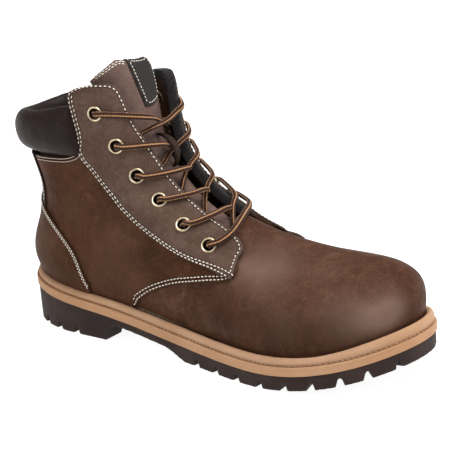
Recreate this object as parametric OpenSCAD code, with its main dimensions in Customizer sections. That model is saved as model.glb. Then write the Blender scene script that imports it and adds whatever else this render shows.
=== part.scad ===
// Lace-up safety work boot, right foot.
// +X points to the toe, -Y is the outer (lateral) side, +Z is up, and the ground is z = 0.
// The upper is one smooth reference skin, skin(u, v): u runs round the boot from the back of
// the heel (0) over the lateral side to the toe and throat (8) and back over the medial side
// (16), and v climbs from the welt (0) to above the top line (10). Every soft panel is a patch
// of that skin, held between two distances from it.

/* [Upper] */
// Thickness of the outer leathers
leather_t = 1.5; // [1.2:0.1:1.7]
// Thickness of the textile linings
lining_t = 1.2; // [0.8:0.1:1.4]
// Wall of the steel toe cap
cap_t = 1.8; // [1.4:0.1:1.9]
// How far the padded collar stands out of the shaft
collar_pad = 9.5; // [6:0.5:11]

/* [Lacing] */
// Outer diameter of an eyelet's flange
eyelet_flange_d = 10.2; // [9:0.1:11]
// Hole through an eyelet
eyelet_hole_d = 6.8; // [6.4:0.1:7.2]
// Diameter of the round lace
lace_d = 3.2; // [2.4:0.1:3.3]

/* [Sole] */
// How far the sole stands out of the upper all round
sole_ext = 6.8; // [6:0.1:8]
// Height the toe is sprung off the ground, at 100 mm in front of the ball
toe_spring = 18; // [12:1:22]
// Depth of the tread
lug_depth = 5; // [3:0.5:6]
// Width of a groove between two lugs
groove_w = 3.4; // [2.5:0.1:4.5]
// Thickness of the removable footbed
footbed_t = 4.6; // [3:0.2:6]

/* [Hidden] */

// Colours
brown = [0.30, 0.19, 0.14];
tan = [0.78, 0.58, 0.38];
rubber = [0.16, 0.14, 0.14];
black = [0.10, 0.09, 0.09];
cream = [0.86, 0.80, 0.70];
foam = [0.85, 0.83, 0.6];
dark_textile = [0.14, 0.12, 0.12];

// Distances of the layers from the skin, positive outwards
clearance = 0.55;
quarter_in = 0.74;
quarter_out = quarter_in + leather_t;
overlay_in = quarter_out + clearance;    // overlays lie on the quarters
overlay_out = overlay_in + leather_t;
lining_out = -2.2;
lining_in = lining_out - lining_t;
vamp_lining_out = -4.6;
cap_out = -2.35;
cap_in = cap_out - cap_t;
tongue_out = -9.2;
tongue_in = tongue_out - leather_t;
washer_in = lining_in - 1.45;            // innermost face of the washers and eyelets

// ---------------------------------------------------------------- reference skin
COLUMNS = 16;
ROWS = 10;
toe_u = COLUMNS / 2;
// [x, y, z] design points of the lateral half, by column from the back of the heel to the
// front of the toe, each from the welt upwards.
LATERAL = [
    [[-145,0,38], [-147,0,48], [-145.5,0,60], [-141.5,0,72], [-139,0,84], [-138,0,96],
     [-141,0,109], [-145,0,122], [-148,0,137], [-150,0,152], [-151,0,170]],
    [[-136,-22.5,37.5], [-138,-24,48], [-136,-23.5,60], [-132.5,-21.5,72],
     [-130.5,-20.5,84], [-130,-20,96.5], [-133,-20.5,109.5], [-136.5,-21.5,122.5],
     [-139.5,-22.5,138], [-141.5,-23.5,154], [-142.5,-24,172]],
    [[-106,-35.5,34], [-107,-38,45], [-107,-37,57], [-106,-35,70],
     [-106,-33,82.5], [-108,-32,95], [-112,-32,108], [-116,-33,122],
     [-120,-34,138.5], [-123,-35.5,155], [-126,-36.5,174]],
    [[-60,-35.5,28.5], [-60,-37.5,40], [-61.5,-35.5,52], [-65,-33.5,64.5],
     [-70.5,-32.5,76.5], [-77.5,-32,89.5], [-85,-32.5,103], [-92.5,-34,118],
     [-100,-36,137], [-107,-37.5,156], [-112.5,-39.5,178]],
    [[-8,-39,23.5], [-8,-40.5,35.5], [-12.5,-37.5,47.5], [-19.5,-35,58.5],
     [-29,-33.5,69.5], [-40.5,-32.5,81.5], [-55,-33,95.5], [-68,-33.5,111.5],
     [-80.5,-35.5,135], [-90.5,-38,158], [-98,-40,183.5]],
    [[45,-48.5,22], [45,-49.5,33], [39.5,-46,44], [29,-40,54.5],
     [12.5,-35,63.5], [-6,-33,74], [-28,-32.5,87.5], [-48.5,-32,106],
     [-64,-33.5,133.5], [-74.5,-36,160], [-81,-38.5,187.5]],
    [[92,-50,24.5], [92.2,-50.6,34.5], [87,-48.5,47.5], [72.5,-40,57.5],
     [47.5,-31.5,63.5], [19,-26.5,69.5], [-4.5,-27.5,82.5], [-32.5,-23.5,102.5],
     [-48,-26,133], [-57,-30,162.5], [-63.5,-31.5,190]],
    [[130,-33,33.5], [131,-33.2,43.5], [128,-33,55], [113,-26,65],
     [82.5,-20,68], [44,-17,72], [9,-14.5,84.5], [-20,-12,104.5],
     [-38.5,-12.5,134.5], [-45,-17.5,164.5], [-51,-19,190.5]],
    [[147,0,38], [148.2,0,48], [143.5,0,60.5], [129,0,71.5], [94.5,0,74], [50.5,0,78.5],
     [12,0,88.5], [-17.5,0,107], [-34.5,0,134.5], [-43,0,161.5], [-48,0,187]]];
// The medial half is the lateral one mirrored and narrowed by this share of its width, by
// column. The narrowing fades out at row 5.
ARCH = [1, 0.97, 0.95, 0.88, 0.88, 0.92, 0.97, 0.99, 1];
function mirrored(p, column, row) =
    [p[0], -p[1] * (1 - (1 - ARCH[column]) * max(0, 1 - row / 5)), p[2]];
function opposite(u) = COLUMNS - u;
NET = [for (i = [0:COLUMNS - 1]) i <= toe_u ? LATERAL[i]
    : [for (j = [0:ROWS]) mirrored(LATERAL[opposite(i)][j], opposite(i), j)]];

// Control points of the cubic spline through the design points, found by repeated correction,
// first round the boot and then up each column.
FIT_ROUNDS = 20;
function fit_round(net, control, rounds) = rounds == 0 ? control :
    fit_round(net, [for (i = [0:COLUMNS - 1])
        (6 * net[i] - control[(i + COLUMNS - 1) % COLUMNS] - control[(i + 1) % COLUMNS]) / 4],
        rounds - 1);
function fit_up(column, control, rounds) = rounds == 0 ? control :
    fit_up(column, [for (j = [0:ROWS]) (j == 0 || j == ROWS) ? column[j]
        : (6 * column[j] - control[j - 1] - control[j + 1]) / 4], rounds - 1);
CONTROL = [for (column = fit_round(NET, NET, FIT_ROUNDS))
    let(c = fit_up(column, column, FIT_ROUNDS))
    concat([2 * c[0] - c[1]], c, [2 * c[ROWS] - c[ROWS - 1]])];

// Weights of four neighbouring control points, for the position and for the slope.
function weights(t) = [pow(1 - t, 3), 3 * pow(t, 3) - 6 * t * t + 4,
    -3 * pow(t, 3) + 3 * t * t + 3 * t + 1, pow(t, 3)] / 6;
function slopes(t) =
    [-pow(1 - t, 2) / 2, (9 * t * t - 12 * t) / 6, (-9 * t * t + 6 * t + 3) / 6, t * t / 2];
function blend(column, row, weights_u, weights_v) =
    weights_u * [for (i = [0:3]) let(c = CONTROL[(column + i + COLUMNS - 1) % COLUMNS])
        weights_v * [for (j = [0:3]) c[row + j]]];
function wrapped(u) = u - COLUMNS * floor(u / COLUMNS);
function row_of(v) = min(max(floor(v), 0), ROWS - 1);
function unit(vector) = vector / norm(vector);
// A point of the skin.
function skin(u, v) = let(turn = wrapped(u), column = floor(turn), row = row_of(v))
    blend(column, row, weights(turn - column), weights(v - row));
// The outward normal there.
function normal(u, v) =
    let(turn = wrapped(u), column = floor(turn), row = row_of(v),
        tu = turn - column, tv = v - row)
    unit(cross(blend(column, row, slopes(tu), weights(tv)),
        blend(column, row, weights(tu), slopes(tv))));
// A point at a distance from the skin.
function off(u, v, distance) = skin(u, v) + distance * normal(u, v);

// ---------------------------------------------------------------- faces and sheets
function quad(a, b, c, d) = [[a, b, c], [a, c, d]];
function flip(faces, on = true) =
    on ? [for (f = faces) [for (i = [len(f) - 1:-1:0]) f[i]]] : faces;
// Faces that join each loop of m points to the next, the last of the loops to the first.
function wall(spans, m, loops, start = 0) =
    [for (i = [0:spans - 1], j = [0:m - 1])
        let(here = start + i * m, next = start + (i + 1) % loops * m, k = (j + 1) % m)
        each quad(here + j, here + k, next + k, next + j)];
// A sheet between two grids of points with n by m cells, closed round its edge.
module sheet(outer, inner, n, m, flipped = false) {
    k = (n + 1) * (m + 1);
    function at(i, j) = i * (m + 1) + j;
    faces = concat(
        [for (i = [0:n - 1], j = [0:m - 1])
            let(a = at(i, j), b = at(i, j + 1), c = at(i + 1, j + 1), d = at(i + 1, j))
            each concat(quad(a, b, c, d), quad(k + a, k + d, k + c, k + b))],
        [for (i = [0:n - 1])
            let(a = at(i, 0), b = at(i + 1, 0), c = at(i, m), d = at(i + 1, m))
            each concat(quad(a, b, k + b, k + a), quad(c, k + c, k + d, d))],
        [for (j = [0:m - 1])
            let(a = at(0, j), b = at(0, j + 1), c = at(n, j), d = at(n, j + 1))
            each concat(quad(a, k + a, k + b, b), quad(c, d, k + d, k + c))]);
    polyhedron(points = concat(outer, inner), faces = flip(faces, flipped), convexity = 8);
}
// A solid through n + 1 loops of m points, closed at both ends.
module tube(points, n, m, flipped = false) {
    last = n * m;
    faces = concat(wall(n, m, n + 1),
        [for (j = [1:m - 2]) [0, j + 1, j]],
        [for (j = [1:m - 2]) [last, last + j, last + j + 1]]);
    polyhedron(points = points, faces = flip(faces, flipped), convexity = 8);
}
// A smooth curve through points, at t from 0 to 1.
function curve(points, t) =
    let(n = len(points) - 1, x = min(max(t, 0), 1) * n, i = min(floor(x), n - 1), s = x - i,
        a = points[max(i - 1, 0)], b = points[i], c = points[i + 1], d = points[min(i + 2, n)])
    0.5 * (2 * b + s * (c - a) + s * s * (2 * a - 5 * b + 4 * c - d)
        + s * s * s * (3 * b - 3 * c + d - a));
// The part of the skin between two curves, from distance lo to distance hi.
module patch(edge_a, edge_b, n, m, lo, hi, flipped = false) {
    uv = [for (i = [0:n], j = [0:m]) let(a = curve(edge_a, i / n), b = curve(edge_b, i / n))
        a + j / m * (b - a)];
    sheet([for (p = uv) off(p[0], p[1], hi)], [for (p = uv) off(p[0], p[1], lo)],
        n, m, flipped);
}
// Stands its children at a point, with their z along a direction.
module stand(point, z) {
    x = unit(cross([0, 1, 0], z));
    y = cross(z, x);
    multmatrix([[x[0], y[0], z[0], point[0]], [x[1], y[1], z[1], point[1]],
        [x[2], y[2], z[2], point[2]], [0, 0, 0, 1]]) children();
}

// ---------------------------------------------------------------- seams
// Each seam is a curve of [u, v] points. Those of the quarters are for the lateral side (1);
// the medial side (-1) is mirrored, and squeezed above v = 8.2.
function for_side(side, points) = side > 0 ? points
    : [for (p = points) [opposite(p[0]), p[1] <= 8.2 ? p[1] : 8.2 + 0.8 * (p[1] - 8.2)]];
// Completes a lateral half over the toe, and one round the heel.
function over_toe(half) =
    concat(half, [for (i = [len(half) - 2:-1:0]) [opposite(half[i][0]), half[i][1]]]);
function round_heel(half) =
    concat([for (i = [len(half) - 1:-1:1]) [-half[i][0], half[i][1]]], half);
// A level line round the heel, reaching as far in u to both sides.
function heel_level(reach, v) = [for (i = [-6:6]) [i * reach / 6, v]];

QUARTER_LO = [[0.02, 0.36], [1.2, 0.36], [2.4, 0.36], [3.1, 0.38], [3.3, 0.48], [3.42, 0.78],
    [3.62, 1.2], [3.9, 1.74], [4.3, 2.38], [4.8, 2.98], [5.32, 3.4], [5.75, 3.95],
    [6.3, 4.78], [6.84, 5.3], [7.0, 5.75]];
QUARTER_HI = [[0.02, 6.5], [1, 6.55], [2.0, 6.82], [2.55, 7.0], [2.9, 7.14], [3.3, 7.36],
    [3.55, 7.52], [3.8, 7.72], [4.0, 7.92], [4.25, 8.3], [4.5, 8.9], [4.75, 9.16],
    [5.3, 9.28], [5.85, 9.27], [6.3, 9.12]];
LINING_LO = [[0.02, 0.1], [1.2, 0.1], [2.4, 0.1], [3.05, 0.9], [3.6, 2.15], [4.5, 3.35],
    [5.3, 4.35], [6.1, 5.2], [6.65, 5.66], [6.85, 5.95]];
LINING_HI = [[0.02, 6.55], [1, 6.6], [2.1, 6.9], [3, 7.25], [3.74, 7.7], [4.15, 8.15],
    [4.57, 9.0], [5.2, 9.24], [5.85, 9.28], [6.3, 9.2]];
EYESTAY_BACK = [[5.3, 9.38], [4.95, 9.35], [4.7, 9.28], [4.55, 9.1], [4.42, 8.72],
    [4.16, 8.13], [3.8, 7.72], [3.74, 7.42], [3.92, 7.08], [4.05, 6.5], [4.07, 6.15],
    [4.07, 5.81], [4.16, 5.2], [4.34, 4.78], [4.57, 4.38], [4.85, 4.1], [5.12, 3.86],
    [5.34, 3.46]];
EYESTAY_FRONT = [[5.5, 9.39], [6.0, 9.37], [6.3, 9.31], [6.46, 9.18], [6.52, 8.95],
    [6.53, 8.62], [6.58, 8.25], [6.77, 7.7], [6.88, 7.3], [6.96, 6.9], [7.01, 6.5],
    [7.03, 6.1], [7.08, 5.78], [7.06, 5.52], [6.86, 5.2], [6.3, 4.72], [5.8, 4.08],
    [5.42, 3.44]];
GUSSET_OUTER = [[6.1, 5.35], [5.95, 6.2], [5.75, 7.0], [5.6, 7.6]];
GUSSET_INNER = [[6.62, 5.3], [6.52, 6.2], [6.38, 7.0], [6.2, 7.6]];

VAMP_LO = over_toe([for (u = [3.0, 3.6, 4.2, 4.8, 5.4, 6.0, 6.6, 7.1, 7.55, 8]) [u, 0]]);
VAMP_HI = over_toe([[3.02, 0.25], [3.42, 1.45], [3.85, 2.15], [4.4, 2.8], [5.0, 3.55],
    [5.6, 4.3], [6.2, 4.95], [6.8, 5.45], [7.4, 5.75], [8, 5.85]]);
VAMP_LINING_LO =
    over_toe([for (u = [3.4, 4.0, 4.5, 5.0, 5.5, 6.0, 6.6, 7.1, 7.55, 8]) [u, 0.06]]);
VAMP_LINING_HI = over_toe([[3.45, 0.3], [3.8, 1.1], [4.2, 1.85], [4.7, 2.65], [5.2, 3.45],
    [5.75, 4.2], [6.3, 4.85], [6.85, 5.3], [7.4, 5.6], [8, 5.7]]);
CAP_LO = over_toe([for (u = [6.05, 6.3, 6.6, 7.0, 7.5, 8]) [u, 0.05]]);
CAP_HI = over_toe([[6.12, 0.75], [6.22, 1.6], [6.5, 2.6], [7.0, 3.45], [7.5, 3.9], [8, 4.02]]);
PAD_LO = over_toe([[6.1, 0.8], [6.19, 1.66], [6.48, 2.65], [6.99, 3.5], [7.5, 3.94],
    [8, 4.06]]);
PAD_HI = over_toe([[5.98, 0.85], [6.06, 1.8], [6.36, 2.85], [6.93, 3.7], [7.47, 4.14],
    [8, 4.26]]);

HEEL_LO = heel_level(2.55, 0.34);
HEEL_HI = round_heel([[0, 4.5], [0.7, 4.28], [1.38, 3.8], [1.86, 3.28], [2.2, 2.65],
    [2.42, 1.85], [2.53, 0.6]]);
STIFFENER_LO = heel_level(2.8, 0.08);
STIFFENER_HI = round_heel([[0, 4.3], [0.75, 4.1], [1.5, 3.6], [2.05, 3.0], [2.4, 2.3],
    [2.65, 1.5], [2.78, 0.5]]);
BACKSTAY_LO = round_heel([[0, 4.62], [0.5, 4.5], [0.95, 4.3], [1.42, 3.92]]);
BACKSTAY_HI = round_heel([[0, 6.5], [0.5, 6.5], [0.95, 6.53], [1.42, 6.6]]);

// ---------------------------------------------------------------- sole
ball_x = 55;
// Profile of the rubber outsole's thickness: [x, thickness, slope].
WEDGE = [[-160, 26.1, -0.085], [-70, 17.6, -0.105], [-10, 11.2, -0.06], [45, 9.6, 0],
    [170, 9.6, 0]];
function hermite(x, a, b) = let(h = b[0] - a[0], t = (x - a[0]) / h)
    (1 + 2 * t) * pow(1 - t, 2) * a[1] + t * pow(1 - t, 2) * h * a[2]
    + t * t * (3 - 2 * t) * b[1] + t * t * (t - 1) * h * b[2];
function wedge(x) =
    let(i = x < WEDGE[1][0] ? 0 : x < WEDGE[2][0] ? 1 : x < WEDGE[3][0] ? 2 : 3)
    hermite(x, WEDGE[i], WEDGE[i + 1]);
// Height of the outsole's underside, and of its top.
function ground(x) = toe_spring * pow(max(0, x - ball_x) / 100, 2);
function top_z(x) = ground(x) + wedge(x);

// [bottom, top] of the layers above the outsole's top
MIDSOLE_Z = [0.05, 6];
FILLER_Z = [6.1, 8.4];
SHANK_Z = [6.3, 8.1];
SHANK_SLOT_Z = [5.5, 9.5];
BOARD_Z = [8.5, 10.7];
FOOTBED_Z = [10.85, 10.85 + footbed_t];

// The skin's lowest line, moved outwards in plan.
function rim(u, outset) = let(p = skin(u, 0), n = normal(u, 0), m = unit([n[0], n[1]]))
    [p[0] + outset * m[0], p[1] + outset * m[1]];
// A slab inside that outline, between two heights that are functions of x.
module slab(outset, lo, hi, n = 44) {
    lateral = [for (i = [0:n]) rim(toe_u * i / n, outset)];
    medial = [for (i = [n - 1:-1:1]) rim(opposite(toe_u * i / n), outset)];
    outline = concat(lateral, medial);
    k = len(outline);
    function facing(i) = 2 * n - i;
    cap = [for (i = [0:n - 1]) each (
        i == 0 ? [[0, 1, facing(1)]]
        : i == n - 1 ? [[n - 1, n, facing(n - 1)]]
        : quad(i, i + 1, facing(i + 1), facing(i)))];
    polyhedron(
        points = concat([for (p = outline) [p[0], p[1], lo(p[0])]],
            [for (p = outline) [p[0], p[1], hi(p[0])]]),
        faces = concat(cap, [for (f = cap) [f[2] + k, f[1] + k, f[0] + k]],
            [for (i = [0:k - 1]) let(j = (i + 1) % k) each quad(i, i + k, j + k, j)]),
        convexity = 6);
}
// A slab between two heights above the outsole's top.
module layer(outset, heights, n = 44) {
    slab(outset, function(x) top_z(x) + heights[0], function(x) top_z(x) + heights[1], n);
}

// Places of the edge grooves, as u on the lateral side
FORE_GROOVES = [4.42, 4.75, 5.11, 5.49, 5.87, 6.26, 6.66, 7.04, 7.5];
HEEL_GROOVES = [0.42, 1.0, 1.5, 1.9, 2.28];
// A groove across the sole's edge at u, cut in by reach.
module groove(u, reach) {
    p = rim(u, sole_ext);
    n = normal(u, 0);
    half = groove_w / 2;
    translate([p[0], p[1], 0]) rotate(atan2(n[1], n[0]))
        translate([-reach, 0, ground(p[0])]) rotate([90, 0, 90])
            linear_extrude(height = reach + 4)
                polygon([[-half - 1.1, -30], [-half - 0.9, -0.01], [-half + 0.7, lug_depth],
                    [half - 0.7, lug_depth], [half + 0.9, -0.01], [half + 1.1, -30]]);
}
module grooves(places, reach) {
    for (u = places) {
        groove(u, reach);
        groove(opposite(u), reach);
    }
}
// A chunky tread lug for the middle of the sole: a block, or a four-pointed star.
module lug(x, y, angle, w, l, star = false) {
    translate([x, y, -2]) rotate(angle) linear_extrude(height = 40)
        if (star)
            polygon([[-l / 2, -w / 2], [0, -w / 5], [l / 2, -w / 2], [l / 3, 0],
                [l / 2, w / 2], [0, w / 5], [-l / 2, w / 2], [-l / 3, 0]]);
        else
            square([l, w], center = true);
}
module waist_lug() { lug(0, 0, angle = 0, w = 20, l = 14); }
module centre_lugs() {
    for (x = [22, 50, 78, 106]) lug(x, 0, angle = 0, w = 17, l = 19, star = true);
    for (x = [36, 64, 92], side = [-1, 1])
        lug(x, side * 17, angle = side * 24, w = 7, l = 15);
    waist_lug();
    lug(120, 0, angle = 90, w = 7, l = 19);
    for (x = [-128, -104, -84]) lug(x, 0, angle = 0, w = 15, l = 15, star = x != -104);
}
// Hollow under the waist, from the heel breast to the forepart.
module waist() {
    difference() {
        translate([0, 90, 0]) rotate([90, 0, 0]) linear_extrude(height = 180)
            polygon([[-70, -4], [-61, wedge(-61) - 5], [-35, wedge(-35) - 5.2],
                [-16, wedge(-16) - 5.4], [-6, 3.2], [3, -0.5], [3, -4]]);
        waist_lug();
    }
}
module outsole() {
    color(rubber) difference() {
        slab(sole_ext - 0.8, function(x) ground(x), function(x) top_z(x));
        waist();
        grooves(FORE_GROOVES, reach = 17);
        grooves(HEEL_GROOVES, reach = 16);
        // field of the tread, with its middle lugs left standing
        difference() {
            slab(-9.5, function(x) -6, function(x) ground(x) + lug_depth, 30);
            centre_lugs();
        }
    }
}
module midsole() { color(tan) layer(sole_ext, MIDSOLE_Z); }

// Section of the welt: [distance outwards, height above the outsole's top].
WELT_SECTION = [[-2.6, 6.1], [4.3, 6.1], [4.7, 7.2], [4.7, 9.2], [4.2, 10.9], [3.0, 12.2],
    [2.2, 12.4], [1.9, 11.2], [1.9, 9.6], [-2.6, 9.6]];
module welt() {
    n = 72;
    points = [for (i = [0:n - 1], s = WELT_SECTION) let(p = rim(COLUMNS * i / n, s[0]))
        [p[0], p[1], top_z(p[0]) + s[1]]];
    color(tan) polyhedron(points = points, faces = flip(wall(n, len(WELT_SECTION), n)),
        convexity = 10);
}
// Short rods of thread along the ledge outside the welt, round the toe.
stitches = 72;
stitch_start_u = 3.4;
module welt_stitching() {
    color(cream) for (i = [0:stitches - 1]) {
        u = stitch_start_u + (COLUMNS - 2 * stitch_start_u) * i / (stitches - 1);
        p = rim(u, 5.7);
        n = normal(u, 0);
        translate([p[0], p[1], top_z(p[0]) + 6.85])
            rotate(atan2(n[1], n[0]) + 90) rotate([0, 90, 0])
                cylinder(h = 2.4, r = 0.35, center = true, $fn = 6);
    }
}
// A strip that follows the arch of the sole.
module shank_strip(w, heights, x0, x1) {
    n = 14;
    function grid(height) = [for (i = [0:n], side = [1, -1]) let(x = x0 + (x1 - x0) * i / n)
        [x, side * w / 2, top_z(x) + height]];
    sheet(grid(heights[1]), grid(heights[0]), n, 1, true);
}
module bottom_filler() {
    color([0.55, 0.42, 0.28]) difference() {
        layer(-3.2, FILLER_Z);
        shank_strip(17, SHANK_SLOT_Z, -98, 8);
    }
}
module steel_shank() {
    color([0.55, 0.56, 0.58]) difference() {
        shank_strip(15, SHANK_Z, -95, 5);
        for (x = [-85, -5]) translate([x, 0, 0]) cylinder(h = 60, r = 2.2, $fn = 32);
    }
}
module insole_board() { color([0.62, 0.5, 0.36]) layer(-2.9, BOARD_Z); }
module footbed() { color([0.15, 0.15, 0.16]) layer(-8.6, FOOTBED_Z, 36); }

// ---------------------------------------------------------------- eyelets
// [u, v] of the eyelets, from the top down.
EYELETS = [[5.43, 8.74], [5.63, 7.99], [5.79, 7.34], [5.98, 6.75], [6.03, 6.07], [6.12, 5.36]];
// The medial heights differ, so that the straight bar at the bottom leans.
EYELETS_M = [for (e = [[5.43, 8.5], [5.63, 7.9], [5.79, 7.52], [5.9, 7.06], [5.9, 6.48],
    [5.95, 6.03]]) [opposite(e[0]), e[1]]];
hole_r = eyelet_hole_d / 2;
flange_r = eyelet_flange_d / 2;
module at_eyelets(side) {
    for (e = side > 0 ? EYELETS : EYELETS_M)
        stand(skin(e[0], e[1]), normal(e[0], e[1])) children();
}
// Holes through the panels, for the eyelets.
module holes(side) {
    at_eyelets(side) translate([0, 0, -7]) cylinder(h = 14, r = hole_r + 0.55, $fn = 48);
}
// A barrel with a flange on the outside.
module eyelets(side) {
    at_eyelets(side) color([0.72, 0.62, 0.42]) rotate_extrude($fn = 48) polygon([
        [hole_r, washer_in], [hole_r + 0.4, washer_in], [hole_r + 0.4, overlay_out + 1.3],
        [flange_r, overlay_out + 1.3], [flange_r, overlay_out + 1.45],
        [flange_r - 0.4, overlay_out + 1.62], [hole_r + 0.7, overlay_out + 1.8],
        [hole_r, overlay_out + 1.55]]);
}
module washers(side) {
    at_eyelets(side) color([0.6, 0.52, 0.36]) translate([0, 0, washer_in]) difference() {
        cylinder(h = 0.35, r = flange_r - 0.8, $fn = 48);
        translate([0, 0, -1]) cylinder(h = 3, r = hole_r + 0.5, $fn = 48);
    }
}

// ---------------------------------------------------------------- upper
module vamp() { color(brown) patch(VAMP_LO, VAMP_HI, 38, 10, -leather_t - 0.1, 0); }
module vamp_lining() {
    color([0.6, 0.55, 0.5]) patch(VAMP_LINING_LO, VAMP_LINING_HI, 26, 7,
        vamp_lining_out - lining_t, vamp_lining_out);
}
module steel_toe_cap() { color([0.5, 0.52, 0.54]) patch(CAP_LO, CAP_HI, 22, 8, cap_in, cap_out); }
module toe_cap_edge_pad() { color([0.2, 0.2, 0.2]) patch(PAD_LO, PAD_HI, 22, 1, cap_in, cap_out); }
// A panel of one side, pierced for the eyelets.
module side_panel(side, edge_a, edge_b, n, m, lo, hi) {
    difference() {
        patch(for_side(side, edge_a), for_side(side, edge_b), n, m, lo, hi, side < 0);
        holes(side);
    }
}
module quarter(side) {
    color(brown) side_panel(side, QUARTER_LO, QUARTER_HI, 32, 16, quarter_in, quarter_out);
}
module quarter_lining(side) {
    color(dark_textile) side_panel(side, LINING_LO, LINING_HI, 24, 8, lining_in, lining_out);
}
module eyestay(side) {
    color(brown)
        side_panel(side, EYESTAY_BACK, EYESTAY_FRONT, 32, 8, overlay_in, overlay_out);
}
module heel_stiffener() {
    color([0.8, 0.78, 0.7]) patch(STIFFENER_LO, STIFFENER_HI, 26, 8, -1.75, -0.75);
}
module heel_counter_cover() {
    color(brown) patch(HEEL_LO, HEEL_HI, 26, 8, overlay_in, overlay_out);
}
// A strip up the back, between the heel counter's cover and the collar.
module backstay() {
    color(black) patch(BACKSTAY_LO, BACKSTAY_HI, 14, 5, overlay_in, overlay_out - 0.4);
}

// ---------------------------------------------------------------- collar
// A padded D-shaped tube that runs round the back from one eyestay to the other, with s from
// -1 to 1 along it. Its ends lean to run along the back edges of the eyestays.
// Lower and upper edge: [|s|, v].
COLLAR_LO = [[0, 6.62], [0.25, 6.68], [0.52, 6.95], [0.75, 7.28], [0.9, 7.56], [1, 7.8]];
COLLAR_HI = [[0, 8.5], [0.25, 8.6], [0.52, 8.86], [0.75, 9.03], [0.9, 9.1], [1, 9.12]];
collar_spans = 24;
collar_sides = 13;               // points in a section
// Section at s: [share of the height, distance from the skin, and the shifts in v and in
// distance that move the point into the pad].
function collar_section(s) =
    let(w = collar_pad * (1 - 0.25 * pow(abs(s), 6)), g = 1 - 0.45 * pow(abs(s), 6))
    [[0.02, quarter_out + 0.3, 1, 0.2], [0.1, 0.68 * w, 1, -1], [0.28, 0.93 * w, 0.5, -1],
     [0.5, w, 0, -1], [0.72, 0.9 * w, -0.5, -1], [0.9, 0.6 * w, -1, -1],
     [1.0, 0.1 * w, -1.2, 0], [0.97, -3.6 * g, -1, 0.6], [0.82, -6.2 * g, -0.5, 1],
     [0.55, -6.9 * g, 0, 1], [0.28, -6.3 * g, 0.5, 1], [0.1, -4.9 * g, 1, 1],
     [0.03, -3.7 * g, 1, 0.9]];
// Points of the tube at a depth below its surface, shortened at the ends by depth * end_step.
function collar_points(depth, end_step = 0.012) =
    [for (i = [0:collar_spans])
        let(s = (-1 + 2 * i / collar_spans) * (1 - end_step * depth),
            v0 = lookup(abs(s), COLLAR_LO), v1 = lookup(abs(s), COLLAR_HI))
        for (c = collar_section(s))
            let(lean = 0.02 + 0.66 * pow(min(max(c[0], 0), 1), 0.75))
            off(s * 3.72 + s * s * s * lean, v0 + (v1 - v0) * c[0] + depth * c[2] / 14,
                c[1] + depth * c[3])];
// The cover is a hollow skin, open inside for the foam.
module collar_cover() {
    n = collar_spans;
    m = collar_sides;
    k = (n + 1) * m;
    last = n * m;
    color(black) polyhedron(
        points = concat(collar_points(0), collar_points(1.3)),
        convexity = 8,
        faces = concat(wall(n, m, n + 1), flip(wall(n, m, n + 1, k)),
            [for (a = [0:m - 1]) let(b = (a + 1) % m) each concat(
                quad(a, k + a, k + b, b),
                quad(last + a, last + b, last + k + b, last + k + a))]));
}
module collar_foam() {
    color(foam) tube(collar_points(2.6, 0.026), collar_spans, collar_sides);
}

// ---------------------------------------------------------------- tongue
// Lateral edge of the tongue, [u, v] from the bottom up.
TONGUE_EDGE = [[6.55, 5.3], [6.45, 6.2], [6.3, 7.0], [6.1, 7.8], [5.85, 8.6], [5.55, 9.12],
    [5.42, 9.34]];
TONGUE_EDGE_M = [for (p = TONGUE_EDGE) [opposite(p[0]), p[1]]];
// The skin's [u, v] at s up the tongue and t across it from the lateral edge. The top edge
// rises towards its middle, with a bump on the lateral side of it.
function tongue_uv(s, t) =
    let(a = curve(TONGUE_EDGE, s), b = curve(TONGUE_EDGE_M, s), p = a + t * (b - a),
        rise = 0.46 * pow(sin(180 * t), 0.7) + 0.17 * exp(-pow((t - 0.36) / 0.2, 2)))
    [p[0], p[1] + s * s * s * rise];
module tongue_sheet(lo, hi, n = 15, m = 12, s0 = 0, s1 = 1, t0 = 0, t1 = 1) {
    uv = [for (i = [0:n], j = [0:m]) tongue_uv(s0 + (s1 - s0) * i / n, t0 + (t1 - t0) * j / m)];
    sheet([for (p = uv) off(p[0], p[1], hi)], [for (p = uv) off(p[0], p[1], lo)], n, m, true);
}
module tongue_face() { color(brown) tongue_sheet(tongue_in, tongue_out); }
module tongue_foam() { color(foam) tongue_sheet(tongue_in - 3.2, tongue_in - 0.45); }
module tongue_lining() { color(dark_textile) tongue_sheet(tongue_in - 4.6, tongue_in - 3.6); }
module tongue_tab() {
    color(black) tongue_sheet(tongue_out + 0.25, tongue_out + 1.4, 9, 6,
        s0 = 0.66, s1 = 1, t0 = 0.42, t1 = 0.66);
}
// A strap close to the tongue at both ends, standing clear in the middle for the lace.
module lace_keeper() {
    n = 14;
    rise = 10.6;
    function bow(i) = rise * pow(sin(180 * min(max((i / n - 0.03) / 0.94, 0), 1)), 0.42);
    function grid(distance) = [for (i = [0:n], side = [-0.2, 0.2])
        off(7.93 + side, 7.36 + 0.76 * i / n, tongue_out + distance + bow(i))];
    color(brown) sheet(grid(1.6), grid(0.4), n, 1, true);
}
module gusset(side) {
    color([0.25, 0.16, 0.12]) patch(for_side(side, GUSSET_OUTER), for_side(side, GUSSET_INNER),
        9, 2, tongue_out + 0.35, tongue_out + 0.85, side > 0);
}

// ---------------------------------------------------------------- lace
// Distances of the lace's centre line from the skin
lace_r = lace_d / 2;
over = overlay_out + 1.8 + lace_r + 1.0;   // on top of an eyelet
under = washer_in - lace_r - 0.2;          // behind a washer
hole_top = over - 2.2;                     // in an eyelet, at its outer and inner end
hole_bottom = under + 1.2;
// at the middle of a crossing, for the upper and the lower strand
high = 1.6;
low = -3.1;
keeper_high = -3.9;                        // the two strands that pass through the keeper
keeper_low = -7.3;
LACE_END = [4.35, 6.3];                    // [u, v] of the lateral end

function reversed(list) = [for (i = [len(list) - 1:-1:0]) list[i]];
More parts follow.
